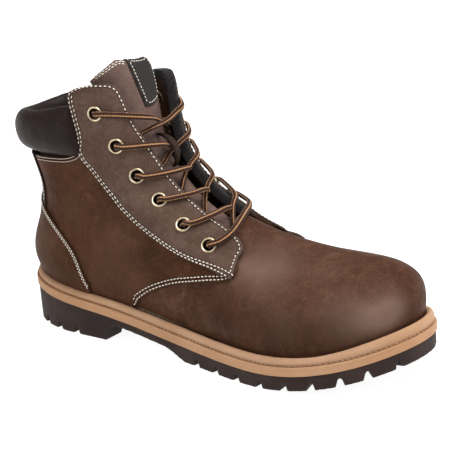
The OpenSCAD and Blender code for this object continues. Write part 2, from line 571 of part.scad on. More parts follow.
// [u, v, distance] from eyelet a, behind its flap, up between the flaps and over the other
// flap to eyelet b. The flaps end at u = leave and u = land.
function strand(a, b, middle) =
    let(way = b[0] > a[0] ? 1 : -1, gap = a[1] < 6.9 ? 0.8 : 1,
        leave = toe_u - way * gap, land = toe_u + way * gap,
        va = a[1] + (b[1] - a[1]) * (leave - a[0]) / (b[0] - a[0]),
        vc = a[1] + (b[1] - a[1]) * (land - a[0]) / (b[0] - a[0]),
        vb = way > 0 ? (vc + b[1]) / 2 : vc, vm = (va + vb) / 2)
    [[a[0], a[1], hole_bottom], [a[0] + way * 0.12, a[1], under],
     [a[0] + way * 0.4, a[1] + (va - a[1]) * 0.15, under], [leave - way * 0.08, va, under],
     [leave + way * 0.34, (va + vm) / 2, 0.45 * under + 0.55 * middle],
     [toe_u, vm, middle], [land - way * 0.4, (vb + vm) / 2, (over + middle) / 2],
     [land + way * 0.08, vb, over], [b[0] - way * 0.3, b[1] - 0.02, over],
     [b[0] - way * 0.1, b[1], over - 0.4], [b[0], b[1], hole_top]];
// The whole lace: lateral end, down to the bottom bar, back up, medial end.
LACE = concat(
    [[LACE_END[0], LACE_END[1], under - 0.5], [4.4, 6.9, under - 0.5], [4.6, 7.6, under - 0.4],
     [4.9, 8.2, under - 0.2], [5.15, 8.58, under], [5.33, 8.7, under],
     [5.43, 8.74, hole_bottom]],
    reversed(strand(EYELETS_M[1], EYELETS[0], low)),
    reversed(strand(EYELETS[2], EYELETS_M[1], keeper_low)),
    reversed(strand(EYELETS_M[3], EYELETS[2], high)),
    reversed(strand(EYELETS[4], EYELETS_M[3], low)),
    reversed(strand(EYELETS_M[5], EYELETS[4], high)),
    [[10.05, 6.03, hole_top], [9.95, 6.03, over - 0.4], [9.5, 6.01, over], [8.95, 5.94, over],
     [8.4, 5.82, over - 1.2], [8, 5.73, over - 1.6], [7.6, 5.65, over - 1.2],
     [7.0, 5.53, over], [6.5, 5.42, over], [6.22, 5.38, over - 0.4], [6.12, 5.36, hole_top]],
    strand(EYELETS[5], EYELETS_M[4], low),
    strand(EYELETS_M[4], EYELETS[3], high),
    strand(EYELETS[3], EYELETS_M[2], low),
    strand(EYELETS_M[2], EYELETS[1], keeper_high),
    strand(EYELETS[1], EYELETS_M[0], high),
    [[10.57, 8.5, hole_bottom], [10.67, 8.48, under], [10.85, 8.4, under],
     [11.1, 8.2, under - 0.2], [11.4, 7.6, under - 0.4], [11.6, 6.9, under - 0.5],
     [opposite(LACE_END[0]), LACE_END[1], under - 0.5]]);
// A round cord of radius r along a path, its section set square to the path.
module sweep(path, normals, r, sides) {
    n = len(path) - 1;
    points = [for (i = [0:n])
        let(along = unit(path[min(i + 1, n)] - path[max(i - 1, 0)]),
            a = unit(cross(along, normals[i])), b = cross(a, along))
        for (k = [0:sides - 1])
            path[i] + r * (cos(360 * k / sides) * a + sin(360 * k / sides) * b)];
    tube(points, n, sides, true);
}
module lace() {
    path = [for (p = LACE) off(p[0], p[1], p[2])];
    normals = [for (p = LACE) normal(p[0], p[1])];
    color([0.75, 0.42, 0.2]) sweep(path, normals, lace_r, 6);
}
// Tips that hang down from the two ends of the lace, inside the boot.
module aglets() {
    color([0.2, 0.12, 0.08]) for (u = [LACE_END[0], opposite(LACE_END[0])]) {
        top = off(u, LACE_END[1] - 0.06, under - 0.5);
        tip = off(u, LACE_END[1] - 1.1, under - 0.5);
        stand(top, unit(tip - top)) cylinder(h = norm(tip - top), r = 1.25, $fn = 32);
    }
}

outsole();
midsole();
welt();
welt_stitching();
bottom_filler();
steel_shank();
insole_board();
footbed();
vamp();
vamp_lining();
steel_toe_cap();
toe_cap_edge_pad();
quarter(1);  // quarter_lateral
quarter(-1);  // quarter_medial
quarter_lining(1);  // quarter_lining_lateral
quarter_lining(-1);  // quarter_lining_medial
heel_stiffener();
heel_counter_cover();
backstay();
collar_cover();
collar_foam();
eyestay(1);  // eyestay_lateral
eyestay(-1);  // eyestay_medial
eyelets(1);  // eyelets_lateral
eyelets(-1);  // eyelets_medial
washers(1);  // eyelet_washers_lateral
washers(-1);  // eyelet_washers_medial
tongue_face();
tongue_foam();
tongue_lining();
tongue_tab();
lace_keeper();
gusset(1);  // tongue_gusset_lateral
gusset(-1);  // tongue_gusset_medial
lace();
aglets();
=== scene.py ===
# A laced work boot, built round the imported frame. The toe points to +x, z is up and the lateral
# side faces -y. Lengths are millimetres of the boot's own frame; MM turns them into metres.
# The upper is laid out on a skin with coordinates (u, v): u runs from the heel (0) along the
# lateral side to the toe (8) and back along the medial side (16); v runs up from the sole (0).
# A piece's place in depth is its distance from the skin, outwards positive.
import math

import bmesh
import bpy
import numpy as np
from mathutils import Matrix, Vector, noise
from mathutils.bvhtree import BVHTree
from mathutils.kdtree import KDTree


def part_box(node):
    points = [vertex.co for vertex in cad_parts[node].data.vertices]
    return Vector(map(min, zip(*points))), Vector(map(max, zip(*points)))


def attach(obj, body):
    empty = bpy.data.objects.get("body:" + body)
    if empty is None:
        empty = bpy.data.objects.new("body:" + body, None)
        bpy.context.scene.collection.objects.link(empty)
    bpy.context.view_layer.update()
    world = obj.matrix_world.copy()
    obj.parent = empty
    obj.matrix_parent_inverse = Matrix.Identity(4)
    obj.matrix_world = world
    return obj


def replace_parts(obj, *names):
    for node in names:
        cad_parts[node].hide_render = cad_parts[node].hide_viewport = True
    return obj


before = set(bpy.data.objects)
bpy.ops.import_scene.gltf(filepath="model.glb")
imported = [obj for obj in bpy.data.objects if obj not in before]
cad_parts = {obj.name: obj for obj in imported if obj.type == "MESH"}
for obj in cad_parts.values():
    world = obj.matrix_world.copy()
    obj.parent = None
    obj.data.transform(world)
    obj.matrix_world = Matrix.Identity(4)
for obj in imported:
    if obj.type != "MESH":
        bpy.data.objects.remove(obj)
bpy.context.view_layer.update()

MIDSOLE_LENGTH = 306.1
midsole_low, midsole_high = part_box("midsole")
MM = (midsole_high.x - midsole_low.x) / MIDSOLE_LENGTH
RNG = np.random.default_rng(7)
SIDES = ("lateral", "medial")

# ------------------------------------------------------------------ the boot's skin
# One station per unit of u from heel to toe, each with 11 points (x, y, z) from v = 0 to 10.
STATIONS = [
    [[-145, 0, 38], [-147, 0, 48], [-145.5, 0, 60], [-141.5, 0, 72], [-139, 0, 84], [-138, 0, 96],
     [-141, 0, 109], [-145, 0, 122], [-148, 0, 137], [-150, 0, 152], [-151, 0, 170]],
    [[-136, -22.5, 37.5], [-138, -24, 48], [-136, -23.5, 60], [-132.5, -21.5, 72],
     [-130.5, -20.5, 84], [-130, -20, 96.5], [-133, -20.5, 109.5], [-136.5, -21.5, 122.5],
     [-139.5, -22.5, 138], [-141.5, -23.5, 154], [-142.5, -24, 172]],
    [[-106, -35.5, 34], [-107, -38, 45], [-107, -37, 57], [-106, -35, 70], [-106, -33, 82.5],
     [-108, -32, 95], [-112, -32, 108], [-116, -33, 122], [-120, -34, 138.5],
     [-123, -35.5, 155], [-126, -36.5, 174]],
    [[-60, -35.5, 28.5], [-60, -37.5, 40], [-61.5, -35.5, 52], [-65, -33.5, 64.5],
     [-70.5, -32.5, 76.5], [-77.5, -32, 89.5], [-85, -32.5, 103], [-92.5, -34, 118],
     [-100, -36, 137], [-107, -37.5, 156], [-112.5, -39.5, 178]],
    [[-8, -39, 23.5], [-8, -40.5, 35.5], [-12.5, -37.5, 47.5], [-19.5, -35, 58.5],
     [-29, -33.5, 69.5], [-40.5, -32.5, 81.5], [-55, -33, 95.5], [-68, -33.5, 111.5],
     [-80.5, -35.5, 135], [-90.5, -38, 158], [-98, -40, 183.5]],
    [[45, -48.5, 22], [45, -49.5, 33], [39.5, -46, 44], [29, -40, 54.5], [12.5, -35, 63.5],
     [-6, -33, 74], [-28, -32.5, 87.5], [-48.5, -32, 106], [-64, -33.5, 133.5],
     [-74.5, -36, 160], [-81, -38.5, 187.5]],
    [[92, -50, 24.5], [92.2, -50.6, 34.5], [87, -48.5, 47.5], [72.5, -40, 57.5],
     [47.5, -31.5, 63.5], [19, -26.5, 69.5], [-4.5, -27.5, 82.5], [-32.5, -23.5, 102.5],
     [-48, -26, 133], [-57, -30, 162.5], [-63.5, -31.5, 190]],
    [[130, -33, 33.5], [131, -33.2, 43.5], [128, -33, 55], [113, -26, 65], [82.5, -20, 68],
     [44, -17, 72], [9, -14.5, 84.5], [-20, -12, 104.5], [-38.5, -12.5, 134.5],
     [-45, -17.5, 164.5], [-51, -19, 190.5]],
    [[147, 0, 38], [148.2, 0, 48], [143.5, 0, 60.5], [129, 0, 71.5], [94.5, 0, 74],
     [50.5, 0, 78.5], [12, 0, 88.5], [-17.5, 0, 107], [-34.5, 0, 134.5], [-43, 0, 161.5],
     [-48, 0, 187]]]
# Width of the medial side at the sole, as a share of the lateral side's, at each station.
ARCH = [1, 0.97, 0.95, 0.88, 0.88, 0.92, 0.97, 0.99, 1]


def control_net():
    """Control points of the cubic B-spline surface that passes through the stations."""
    net = np.zeros((16, 11, 3))
    for i, station in enumerate(STATIONS):
        for j, (x, y, z) in enumerate(station):
            net[i, j] = (x, y, z)
            if 0 < i < 8:
                net[16 - i, j] = (x, -y * (1 - (1 - ARCH[i]) * max(0, 1 - j / 5)), z)
    rings = net.copy()
    for _ in range(24):
        rings = (6 * net - np.roll(rings, 1, 0) - np.roll(rings, -1, 0)) / 4
    columns = rings.copy()
    for _ in range(24):
        eased = columns.copy()
        eased[:, 1:-1] = (6 * rings[:, 1:-1] - columns[:, :-2] - columns[:, 2:]) / 4
        columns = eased
    below = 2 * columns[:, :1] - columns[:, 1:2]
    above = 2 * columns[:, -1:] - columns[:, -2:-1]
    return np.concatenate([below, columns, above], 1)


CONTROL = control_net()


def spline(t):
    return np.stack([(1 - t)**3 / 6, (3*t**3 - 6*t**2 + 4) / 6,
                     (-3*t**3 + 3*t**2 + 3*t + 1) / 6, t**3 / 6], -1)


def spline_slope(t):
    return np.stack([-(1 - t)**2 / 2, (9*t*t - 12*t) / 6, (-9*t*t + 6*t + 3) / 6, t*t / 2], -1)


def evaluate(uv, basis_u, basis_v):
    uv = np.asarray(uv, float)
    u, v = uv[..., 0] % 16, uv[..., 1]
    cell_u = np.floor(u).astype(int) % 16
    cell_v = np.clip(np.floor(v).astype(int), 0, 9)
    weight_u, weight_v = basis_u(u - np.floor(u)), basis_v(v - cell_v)
    total = 0
    for i in range(4):
        for j in range(4):
            weight = (weight_u[..., i] * weight_v[..., j])[..., None]
            total = total + weight * CONTROL[(cell_u + i - 1) % 16, cell_v + j]
    return total


def unit(vectors):
    return vectors / np.maximum(np.linalg.norm(vectors, axis=-1, keepdims=True), 1e-12)


def skin(uv):
    return evaluate(uv, spline, spline)


def normal(uv):
    return unit(np.cross(evaluate(uv, spline_slope, spline), evaluate(uv, spline, spline_slope)))


def offset(uv, distance):
    return skin(uv) + normal(uv) * np.asarray(distance, float)[..., None]


# ------------------------------------------------------------------ curves and numbers
def pairs(u, v):
    return np.stack(np.broadcast_arrays(np.asarray(u, float), np.asarray(v, float)), -1)


def catmull(before, start, end, after, t):
    return 0.5 * (2*start + t*(end - before) + t*t*(2*before - 5*start + 4*end - after)
                  + t**3*(3*start - 3*end + after - before))


def curve_at(points, places):
    """A smooth curve through points; place 0 is the first point, 1 the second and so on."""
    points = np.asarray(points, float)
    last = len(points) - 1
    i = np.minimum(np.floor(places).astype(int), last - 1)
    return catmull(points[np.maximum(i - 1, 0)], points[i], points[i + 1],
                   points[np.minimum(i + 2, last)], (places - i)[..., None])


def curve(points, share):
    return curve_at(points, np.clip(share, 0, 1) * (len(points) - 1))


def run_length(points):
    steps = np.linalg.norm(np.diff(points, axis=-2), axis=-1)
    return np.concatenate([np.zeros_like(steps[..., :1]), np.cumsum(steps, axis=-1)], -1)


def interp_rows(x, known_x, rows):
    return np.stack([np.interp(x, known_x, column) for column in rows.T], 1)


def smoothstep(low, high, x):
    t = np.clip((np.asarray(x, float) - low) / (high - low), 0, 1)
    return t * t * (3 - 2 * t)


def mean_of_five(values):
    return np.convolve(np.pad(values, 2, mode="edge"), np.ones(5) / 5, mode="valid")


def cluster(length, count, edge=(0, .12, .32, .62, 1.05, 1.6)):
    """Places along a length, close together near both ends."""
    edge = np.array(edge)
    if length < 4:
        edge = edge * length / 5
    middle = np.linspace(edge[-1], length - edge[-1], max(count, 2) + 1)[1:-1]
    return np.concatenate([edge, middle, (length - edge)[::-1]])


def noise_at(points, scale, seed=0.0):
    flat = points.reshape(-1, 3) * scale + seed
    return np.array([noise.noise(Vector(q)) for q in flat]).reshape(points.shape[:-1])


def both_sides(half):
    """Mirrors points that end on the toe line."""
    return half + [[16 - u, v] for u, v in half[-2::-1]]


def about_heel(half):
    """Mirrors points that start on the heel line."""
    return [[-u, v] for u, v in half[:0:-1]] + half


def on_side(points, side):
    """Lateral points as they are, or mirrored to the medial side, which is cut lower on top."""
    if side == "lateral":
        return points
    return [[16 - u, v if v <= 8.2 else 8.2 + 0.8 * (v - 8.2)] for u, v in points]


# ------------------------------------------------------------------ meshes
def smooth_shade(mesh):
    mesh.polygons.foreach_set("use_smooth", [True] * len(mesh.polygons))


def face_outwards(mesh):
    bm = bmesh.new()
    bm.from_mesh(mesh)
    bmesh.ops.recalc_face_normals(bm, faces=bm.faces)
    bm.to_mesh(mesh)
    bm.free()


def link(name, data):
    obj = bpy.data.objects.new(name, data)
    bpy.context.scene.collection.objects.link(obj)
    return obj


def make_object(name, verts, faces, *materials, body="boot"):
    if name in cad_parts:
        name += "_look"
    mesh = bpy.data.meshes.new(name)
    mesh.from_pydata((np.asarray(verts) * MM).tolist(), [], [list(map(int, f)) for f in faces])
    mesh.validate()
    mesh.update()
    face_outwards(mesh)
    smooth_shade(mesh)
    obj = link(name, mesh)
    for material in materials:
        mesh.materials.append(material)
    if body:
        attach(obj, body)
    return obj


def stand_in(obj, *pieces, slot):
    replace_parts(obj, *pieces)


def set_attribute(obj, name, values):
    attribute = obj.data.attributes.new(name, "FLOAT", "POINT")
    attribute.data.foreach_set("value", np.asarray(values, np.float32).ravel())


def merge(parts):
    """Joins (vertices, faces) pairs into one."""
    verts, faces, base = [], [], 0
    for points, polygons in parts:
        verts.append(points)
        faces += [[k + base for k in face] for face in polygons]
        base += len(points)
    return np.concatenate(verts), faces


def tube_faces(rings, count, closed=False):
    return [[i * count + j, i * count + (j + 1) % count,
             (i + 1) % rings * count + (j + 1) % count, (i + 1) % rings * count + j]
            for i in range(rings if closed else rings - 1) for j in range(count)]


def end_caps(rings, count):
    return [list(range(count))[::-1], list(range((rings - 1) * count, rings * count))]


def flipped(quads):
    return [[a, d, c, b] for a, b, c, d in quads]


def circle(count):
    return np.arange(count) * 2 * np.pi / count


def oval_rings(centres, across, up, width, height, count):
    """Oval rings round the centres; width and height are half sizes, one row per ring."""
    x, y = width * np.cos(circle(count)), height * np.sin(circle(count))
    rings = centres[:, None] + x[..., None] * across[:, None] + y[..., None] * up[:, None]
    return rings.reshape(-1, 3)


def slab_faces(n, m):
    """Faces of two n by m grids of points, one after the other, joined along their borders."""
    k = n * m
    faces = []
    for i in range(n - 1):
        for j in range(m - 1):
            a, b, c, d = i * m + j, i * m + j + 1, (i + 1) * m + j + 1, (i + 1) * m + j
            faces += [[a, b, c, d], [a + k, d + k, c + k, b + k]]
    for i in range(n - 1):
        for j in (0, m - 1):
            faces.append([i * m + j, (i + 1) * m + j, (i + 1) * m + j + k, i * m + j + k])
    for j in range(m - 1):
        for i in (0, n - 1):
            faces.append([i * m + j, i * m + j + 1, i * m + j + 1 + k, i * m + j + k])
    return faces


def voxel_remesh(obj, size):
    obj.data.remesh_voxel_size = size * MM
    for other in bpy.context.selected_objects:
        other.select_set(False)
    obj.select_set(True)
    bpy.context.view_layer.objects.active = obj
    bpy.ops.object.voxel_remesh()


def add_smooth(obj, iterations):
    modifier = obj.modifiers.new("smooth", "SMOOTH")
    modifier.factor = 0.5
    modifier.iterations = iterations


def bake(obj):
    """Applies the object's modifiers."""
    depsgraph = bpy.context.evaluated_depsgraph_get()
    mesh = bpy.data.meshes.new_from_object(obj.evaluated_get(depsgraph))
    obj.modifiers.clear()
    old, obj.data = obj.data, mesh
    mesh.name = obj.name
    bpy.data.meshes.remove(old)


# ------------------------------------------------------------------ leather sheets
# Patches of painted highlight on a panel's leather: x, y, z, radius, strength.
PAINTED_HIGHLIGHT_SPOTS = {
    "vamp": [
        (124, -34, 50, 13, 0.35), (142, -22, 49, 9, 1.0), (135, -31, 47, 10, 0.8),
        (144, -15, 53, 8, 0.6), (122, -40, 43, 10, 0.35), (112, -42, 50, 15, 0.2),
        (60, -24, 68, 17, 0.5), (40, -30, 66, 16, 0.45), (66, -38, 56, 16, 0.25),
        (96, -22, 68, 14, 0.15), (85, -52, 44, 12, 0.25)],
    "quarter_lateral": [
        (-70, -38, 48, 20, 0.3), (-56, -32, 70, 16, 0.22), (-40, -37, 45, 12, 0.2),
        (-92, -33, 84, 14, 0.2)],
    "heel_counter_cover": [(-120, -32, 62, 18, 0.3)]}
# Patches of painted shade on a panel's leather: x, y, z, radius, strength.
PAINTED_SHADE_SPOTS = {
    "vamp": [
        (35, -50, 36, 20, 0.45), (80, -56, 34, 22, 0.5), (120, -44, 38, 18, 0.5),
        (148, -8, 50, 14, 0.4)],
    "quarter_lateral": [(-75, -40, 38, 22, 0.3), (-66, -34, 118, 14, 0.25)]}
NO_SEAM = 20.0                  # distance to a seam where there is none
SEAM_DEPTH, SEAM_WIDTH = 0.32, 0.85


def cell_corners(grid):
    return grid[:-1, :-1], grid[1:, :-1], grid[:-1, 1:], grid[1:, 1:]


def punch_hole(top, bottom, hole, radius):
    """Snaps both grids to a round hole's edge and returns the cells inside the hole."""
    centre, axis = skin(hole), normal(hole)

    def radial(grid):
        out = grid - centre
        out = out - (out @ axis)[..., None] * axis
        return out, np.linalg.norm(out, axis=-1)

    near = np.abs((top - centre) @ axis) < 9
    inside = (sum(cell_corners(radial(top)[1])) / 4 < radius) & near[:-1, :-1]
    corners = cell_corners(np.pad(inside, 1))
    edge = np.any(corners, axis=0) & ~np.all(corners, axis=0)
    for grid in (top, bottom):
        out, distance = radial(grid)
        shift = out * (radius / np.maximum(distance, 1e-6) - 1)[..., None]
        grid += np.where(edge[..., None], shift, 0)
    return inside


def panel_faces(gone):
    """Faces of a sheet of two grids, leaving out the cells that are gone."""
    n, m = gone.shape[0] + 1, gone.shape[1] + 1
    k = n * m
    i, j = np.meshgrid(np.arange(n - 1), np.arange(m - 1), indexing="ij")
    a, b, c, d = i * m + j, i * m + j + 1, (i + 1) * m + j + 1, (i + 1) * m + j
    faces = [np.stack([a, d, c, b], -1)[~gone],
             np.stack([a + k, b + k, c + k, d + k], -1)[~gone]]
    i = np.arange(n - 1)
    for j in (0, m - 1):
        quads = np.stack([i*m + j, (i + 1)*m + j, (i + 1)*m + j + k, i*m + j + k], -1)
        faces.append(quads if j == m - 1 else quads[:, ::-1])
    j = np.arange(m - 1)
    for i in (0, n - 1):
        quads = np.stack([i*m + j, i*m + j + 1, i*m + j + 1 + k, i*m + j + k], -1)
        faces.append(quads if i == 0 else quads[:, ::-1])
    # each neighbour of a cell, with the two corners they share
    neighbours = ((-1, 0, (0, 0), (0, 1)), (1, 0, (1, 0), (1, 1)),
                  (0, -1, (0, 0), (1, 0)), (0, 1, (0, 1), (1, 1)))
    walls = []
    for i, j in zip(*np.nonzero(gone)):
        for step_i, step_j, start, end in neighbours:
            x, y = i + step_i, j + step_j
            if 0 <= x < n - 1 and 0 <= y < m - 1 and not gone[x, y]:
                first = (i + start[0]) * m + j + start[1]
                second = (i + end[0]) * m + j + end[1]
                walls.append([first, second, second + k, first + k])
    if walls:
        faces.append(np.array(walls))
    return np.concatenate(faces)


class Panel:
    """A sheet over the skin, between two edge curves, from distance low to high."""

    def __init__(self, name, edges, low, high, cell, rounding, wobble, seed=0.0):
        self.name, self.edges, self.low, self.high = name, edges, low, high
        self.rounding = rounding
        share = np.linspace(0, 1, 500)
        middle = (curve(edges[0], share) + curve(edges[1], share)) / 2
        run = run_length(offset(middle, high))
        along = cluster(run[-1], int(run[-1] / cell))
        start, end = [curve(edge, np.interp(along, run, share)) for edge in edges]
        steps = np.linspace(0, 1, 41)
        lines = start[:, None] + (end - start)[:, None] * steps[None, :, None]
        widths = run_length(offset(lines, high))
        count = int(widths[:, -1].max() / cell)
        across = np.array([cluster(width[-1], count) for width in widths])
        shares = np.array([np.interp(x, width, steps) for x, width in zip(across, widths)])
        side_gap = np.minimum(across, widths[:, -1:] - across)
        end_gap = np.minimum(along, along[-1] - along)[:, None]
        self.edge_gap = np.minimum(side_gap, end_gap)
        self.seam_gap = np.full(self.edge_gap.shape, NO_SEAM)
        uv = start[:, None] + (end - start)[:, None] * shares[..., None]
        self.points, self.normals = skin(uv), normal(uv)
        self.relief = (wobble * noise_at(self.points, 0.045, seed)
                       + 0.4 * wobble * noise_at(self.points, 0.14, seed + 5))

    def press_seams(self, seam_points):
        tree = KDTree(len(seam_points))
        for i, point in enumerate(seam_points):
            tree.insert(Vector(point), i)
        tree.balance()
        top = (self.points + self.normals * self.high).reshape(-1, 3)
        gaps = [tree.find(Vector(point))[2] for point in top]
        self.seam_gap = np.array(gaps).reshape(self.edge_gap.shape)
        self.relief = self.relief - SEAM_DEPTH * np.exp(-(self.seam_gap / SEAM_WIDTH) ** 2)

    def build(self, material, holes=(), hole_radius=3.9):
        inward = np.clip(self.rounding - self.edge_gap, 0, self.rounding)
        drop = self.rounding - np.sqrt(np.maximum(self.rounding**2 - inward**2, 0))
        low = self.low + 0.5 * drop
        high = self.high - drop + self.relief * smoothstep(0, 2, self.edge_gap)
        high = np.maximum(high, low + 0.05)
        top = self.points + self.normals * high[..., None]
        bottom = self.points + self.normals * low[..., None]
        gone = np.zeros((top.shape[0] - 1, top.shape[1] - 1), bool)
        for hole in holes:
            gone |= punch_hole(top, bottom, hole, hole_radius)
        faces = panel_faces(gone)
        verts = np.concatenate([top.reshape(-1, 3), bottom.reshape(-1, 3)])
        used = np.unique(faces)
        new_index = np.full(len(verts), -1)
        new_index[used] = np.arange(len(used))
        obj = make_object(self.name, verts[used], new_index[faces], material)

        def store(name, above, below):
            set_attribute(obj, name, np.concatenate([above.ravel(), below.ravel()])[used])

        store("edge_mm", self.edge_gap, self.edge_gap * 0)
        store("seam_mm", self.seam_gap, self.seam_gap * 0 + NO_SEAM)
        # masks of painted highlight and painted shade from the patches above
        for name, patches in (("painted_highlight", PAINTED_HIGHLIGHT_SPOTS), ("shade", PAINTED_SHADE_SPOTS)):
            total = np.zeros(self.edge_gap.shape)
            for x, y, z, radius, strength in patches.get(self.name, ()):
                square = ((self.points - (x, y, z)) ** 2).sum(-1)
                total = total + strength * np.exp(-square / radius ** 2)
            total = np.clip(total, 0, 1)
            store(name, total, total)
        return obj

    def inset(self, edge, gap, start=0.0, end=1.0, count=600):
        """(u, v) points a gap inside edge 0 or 1, from start to end of its length."""
        share = np.linspace(0, 1, 800)
        run = run_length(offset(curve(self.edges[edge], share), self.high))
        share = np.interp(np.linspace(start * run[-1], end * run[-1], count), run, share)
        near, far = curve(self.edges[edge], share), curve(self.edges[1 - edge], share)
        points = offset(near, self.high)
        step = 0.02
        across = (offset(near + step * (far - near), self.high) - points) / step
        width = np.linalg.norm(across, axis=1)
        tangent = unit(np.gradient(points, axis=0))
        sine = np.linalg.norm(np.cross(tangent, across / width[:, None]), axis=1)
        return near + (far - near) * (gap / (width * np.maximum(sine, 0.35)))[:, None]


# ------------------------------------------------------------------ material tools
def scaled(colour, factor):
    return tuple(factor * channel for channel in colour)


class Shader:
    """A Principled material. tint() lays colours over each other and bump() stacks reliefs."""

    def __init__(self, name):
        self.material = bpy.data.materials.new(name)
        self.material.use_nodes = True
        self.tree = self.material.node_tree
        self.tree.nodes.clear()
        output = self.node("ShaderNodeOutputMaterial")
        self.principled = self.node("ShaderNodeBsdfPrincipled")
        self.link(self.principled.outputs[0], output.inputs[0])
        self.coords = self.node("ShaderNodeTexCoord").outputs["Object"]
        self.colour = self.normal = None

    def node(self, kind):
        return self.tree.nodes.new(kind)

    def link(self, source, socket):
        self.tree.links.new(source, socket)

    def feed(self, value, socket):
        """Sets a socket from a number or colour, or links it to another socket."""
        if not isinstance(value, (int, float, tuple)):
            self.link(value, socket)
        elif isinstance(value, tuple) and len(value) == 3:
            socket.default_value = value + (1,)
        else:
            socket.default_value = value

    def shift(self, location):
        mapping = self.node("ShaderNodeMapping")
        self.link(self.coords, mapping.inputs[0])
        mapping.inputs["Location"].default_value = location
        self.coords = mapping.outputs[0]

    def noise(self, scale, detail=3.0, rough=0.6, distort=0.0, at=None):
        node = self.node("ShaderNodeTexNoise")
        node.inputs["Scale"].default_value = scale
        node.inputs["Detail"].default_value = detail
        node.inputs["Roughness"].default_value = rough
        node.inputs["Distortion"].default_value = distort
        self.link(at or self.coords, node.inputs["Vector"])
        return node.outputs[0]

    def voronoi(self, scale, feature):
        node = self.node("ShaderNodeTexVoronoi")
        node.feature = feature
        node.inputs["Scale"].default_value = scale
        self.link(self.coords, node.inputs["Vector"])
        return node.outputs[0]

    def ramp(self, value, span, to=(0.0, 1.0), smooth=False):
        """Maps the span of a value to another, held at both ends."""
        node = self.node("ShaderNodeMapRange")
        if smooth:
            node.interpolation_type = "SMOOTHSTEP"
        self.feed(value, node.inputs[0])
        for i, number in enumerate(span + to):
            node.inputs[i + 1].default_value = number
        return node.outputs[0]

    def mix(self, amount, under, over):
        node = self.node("ShaderNodeMix")
        node.data_type = "RGBA"
        self.feed(amount, node.inputs[0])
        self.feed(under, node.inputs[6])
        self.feed(over, node.inputs[7])
        return node.outputs[2]

    def tint(self, amount, over):
        self.colour = self.mix(amount, self.colour, over)

    def calc(self, operation, first, second=0.0):
        node = self.node("ShaderNodeMath")
        node.operation = operation
        self.feed(first, node.inputs[0])
        self.feed(second, node.inputs[1])
        return node.outputs[0]

    def times(self, first, second):
        return self.calc("MULTIPLY", first, second)

    def plus(self, first, second):
        return self.calc("ADD", first, second)

    def minus(self, first, second):
        return self.calc("SUBTRACT", first, second)

    def attribute(self, name):
        node = self.node("ShaderNodeAttribute")
        node.attribute_name = name
        return node.outputs["Fac"]

    def separate(self, vector):
        node = self.node("ShaderNodeSeparateXYZ")
        self.link(vector, node.inputs[0])
        return node.outputs

    def bump(self, height, depth, strength):
        """Depth is in metres."""
        node = self.node("ShaderNodeBump")
        node.inputs["Strength"].default_value = strength
        node.inputs["Distance"].default_value = depth
        self.link(height, node.inputs["Height"])
        if self.normal is not None:
            self.link(self.normal, node.inputs["Normal"])
        self.normal = node.outputs[0]

    def finish(self, rough, **inputs):
        self.feed(self.colour, self.principled.inputs["Base Color"])
        self.feed(rough, self.principled.inputs["Roughness"])
        self.link(self.normal, self.principled.inputs["Normal"])
        for name, value in inputs.items():
            self.feed(value, self.principled.inputs[name.replace("_", " ")])
        return self.material


# ------------------------------------------------------------------ materials
def leather(name, dark, middle, light, red, rough=0.5, gloss=0.05, shift=0.0,
            cut_edge=(0.016, 0.007, 0.004), panel=True):
    """Mottled leather; on a panel it also follows the edges, seams, painted highlights and painted
    shade.
    """
    mat = Shader(name)
    mat.shift((shift, shift * 0.7, -shift * 0.4))
    broad = mat.noise(scale=21, detail=4, rough=0.62, distort=0.6)
    medium = mat.noise(scale=70, detail=5, rough=0.65, distort=0.3)
    fine = mat.noise(scale=420)
    reddening = mat.noise(scale=13, rough=0.55, distort=1.0)
    mat.colour = mat.mix(mat.ramp(broad, span=(0.32, 0.68), smooth=True), dark, middle)
    mat.tint(mat.ramp(medium, span=(0.36, 0.72), to=(0, 0.75), smooth=True), middle)
    mat.tint(mat.ramp(reddening, span=(0.5, 0.74), to=(0, 0.6), smooth=True), red)
    mat.tint(mat.times(mat.ramp(medium, span=(0.52, 0.8), smooth=True),
                       mat.ramp(broad, span=(0.4, 0.7), to=(0.15, 0.8))), light)
    mat.tint(mat.ramp(fine, span=(0.3, 0.75), to=(0.0, 0.35)), mat.mix(0.5, mat.colour, dark))
    mottle = mat.noise(scale=150, detail=5, rough=0.72, distort=0.7)
    specks = mat.noise(scale=900, detail=2)
    mat.tint(mat.ramp(mottle, span=(0.40, 0.62), to=(0, 0.8), smooth=True),
             mat.mix(0.75, mat.colour, dark))
    mat.tint(mat.times(mat.ramp(specks, span=(0.5, 0.74)),
                       mat.ramp(mottle, span=(0.3, 0.6), to=(0.75, 0.15))), light)
    pores = mat.voronoi(scale=1500, feature="F1")
    pebbles = mat.voronoi(scale=620, feature="SMOOTH_F1")
    grain = mat.plus(mat.times(pebbles, 0.6), mat.times(fine, 0.7))
    if panel:
        edge, seam = mat.attribute("edge_mm"), mat.attribute("seam_mm")
        # the cut edge, then a lighter rim beside it
        mat.tint(mat.ramp(edge, span=(0.15, 0.75), to=(1, 0), smooth=True), cut_edge)
        mat.tint(mat.ramp(edge, span=(0.9, 1.9), to=(0.35, 0), smooth=True), light)
        mat.tint(mat.ramp(seam, span=(0.3, 1.5), to=(0.75, 0), smooth=True), scaled(dark, 0.55))
        # painted highlight: a lighter, greyish sheen colour over the highlight patches
        mat.tint(mat.times(mat.attribute("painted_highlight"),
                           mat.ramp(medium, span=(0.2, 0.8), to=(0.75, 1.0))),
                 (1.3 * light[0], 1.5 * light[1], 1.78 * light[2]))
        # painted shade over the shade patches
        mat.tint(mat.attribute("shade"), scaled(dark, 0.75))
    mat.bump(grain, depth=0.00022, strength=0.55)
    mat.bump(pores, depth=0.00012, strength=0.35)
    mat.bump(mat.noise(scale=160, detail=4, distort=0.4), depth=0.0007, strength=0.3)
    roughness = mat.plus(mat.ramp(medium, span=(0.3, 0.75), to=(rough + 0.1, rough - 0.05)),
                         mat.ramp(fine, span=(0.2, 0.8), to=(-0.03, 0.06)))
    return mat.finish(roughness, Specular_IOR_Level=gloss)


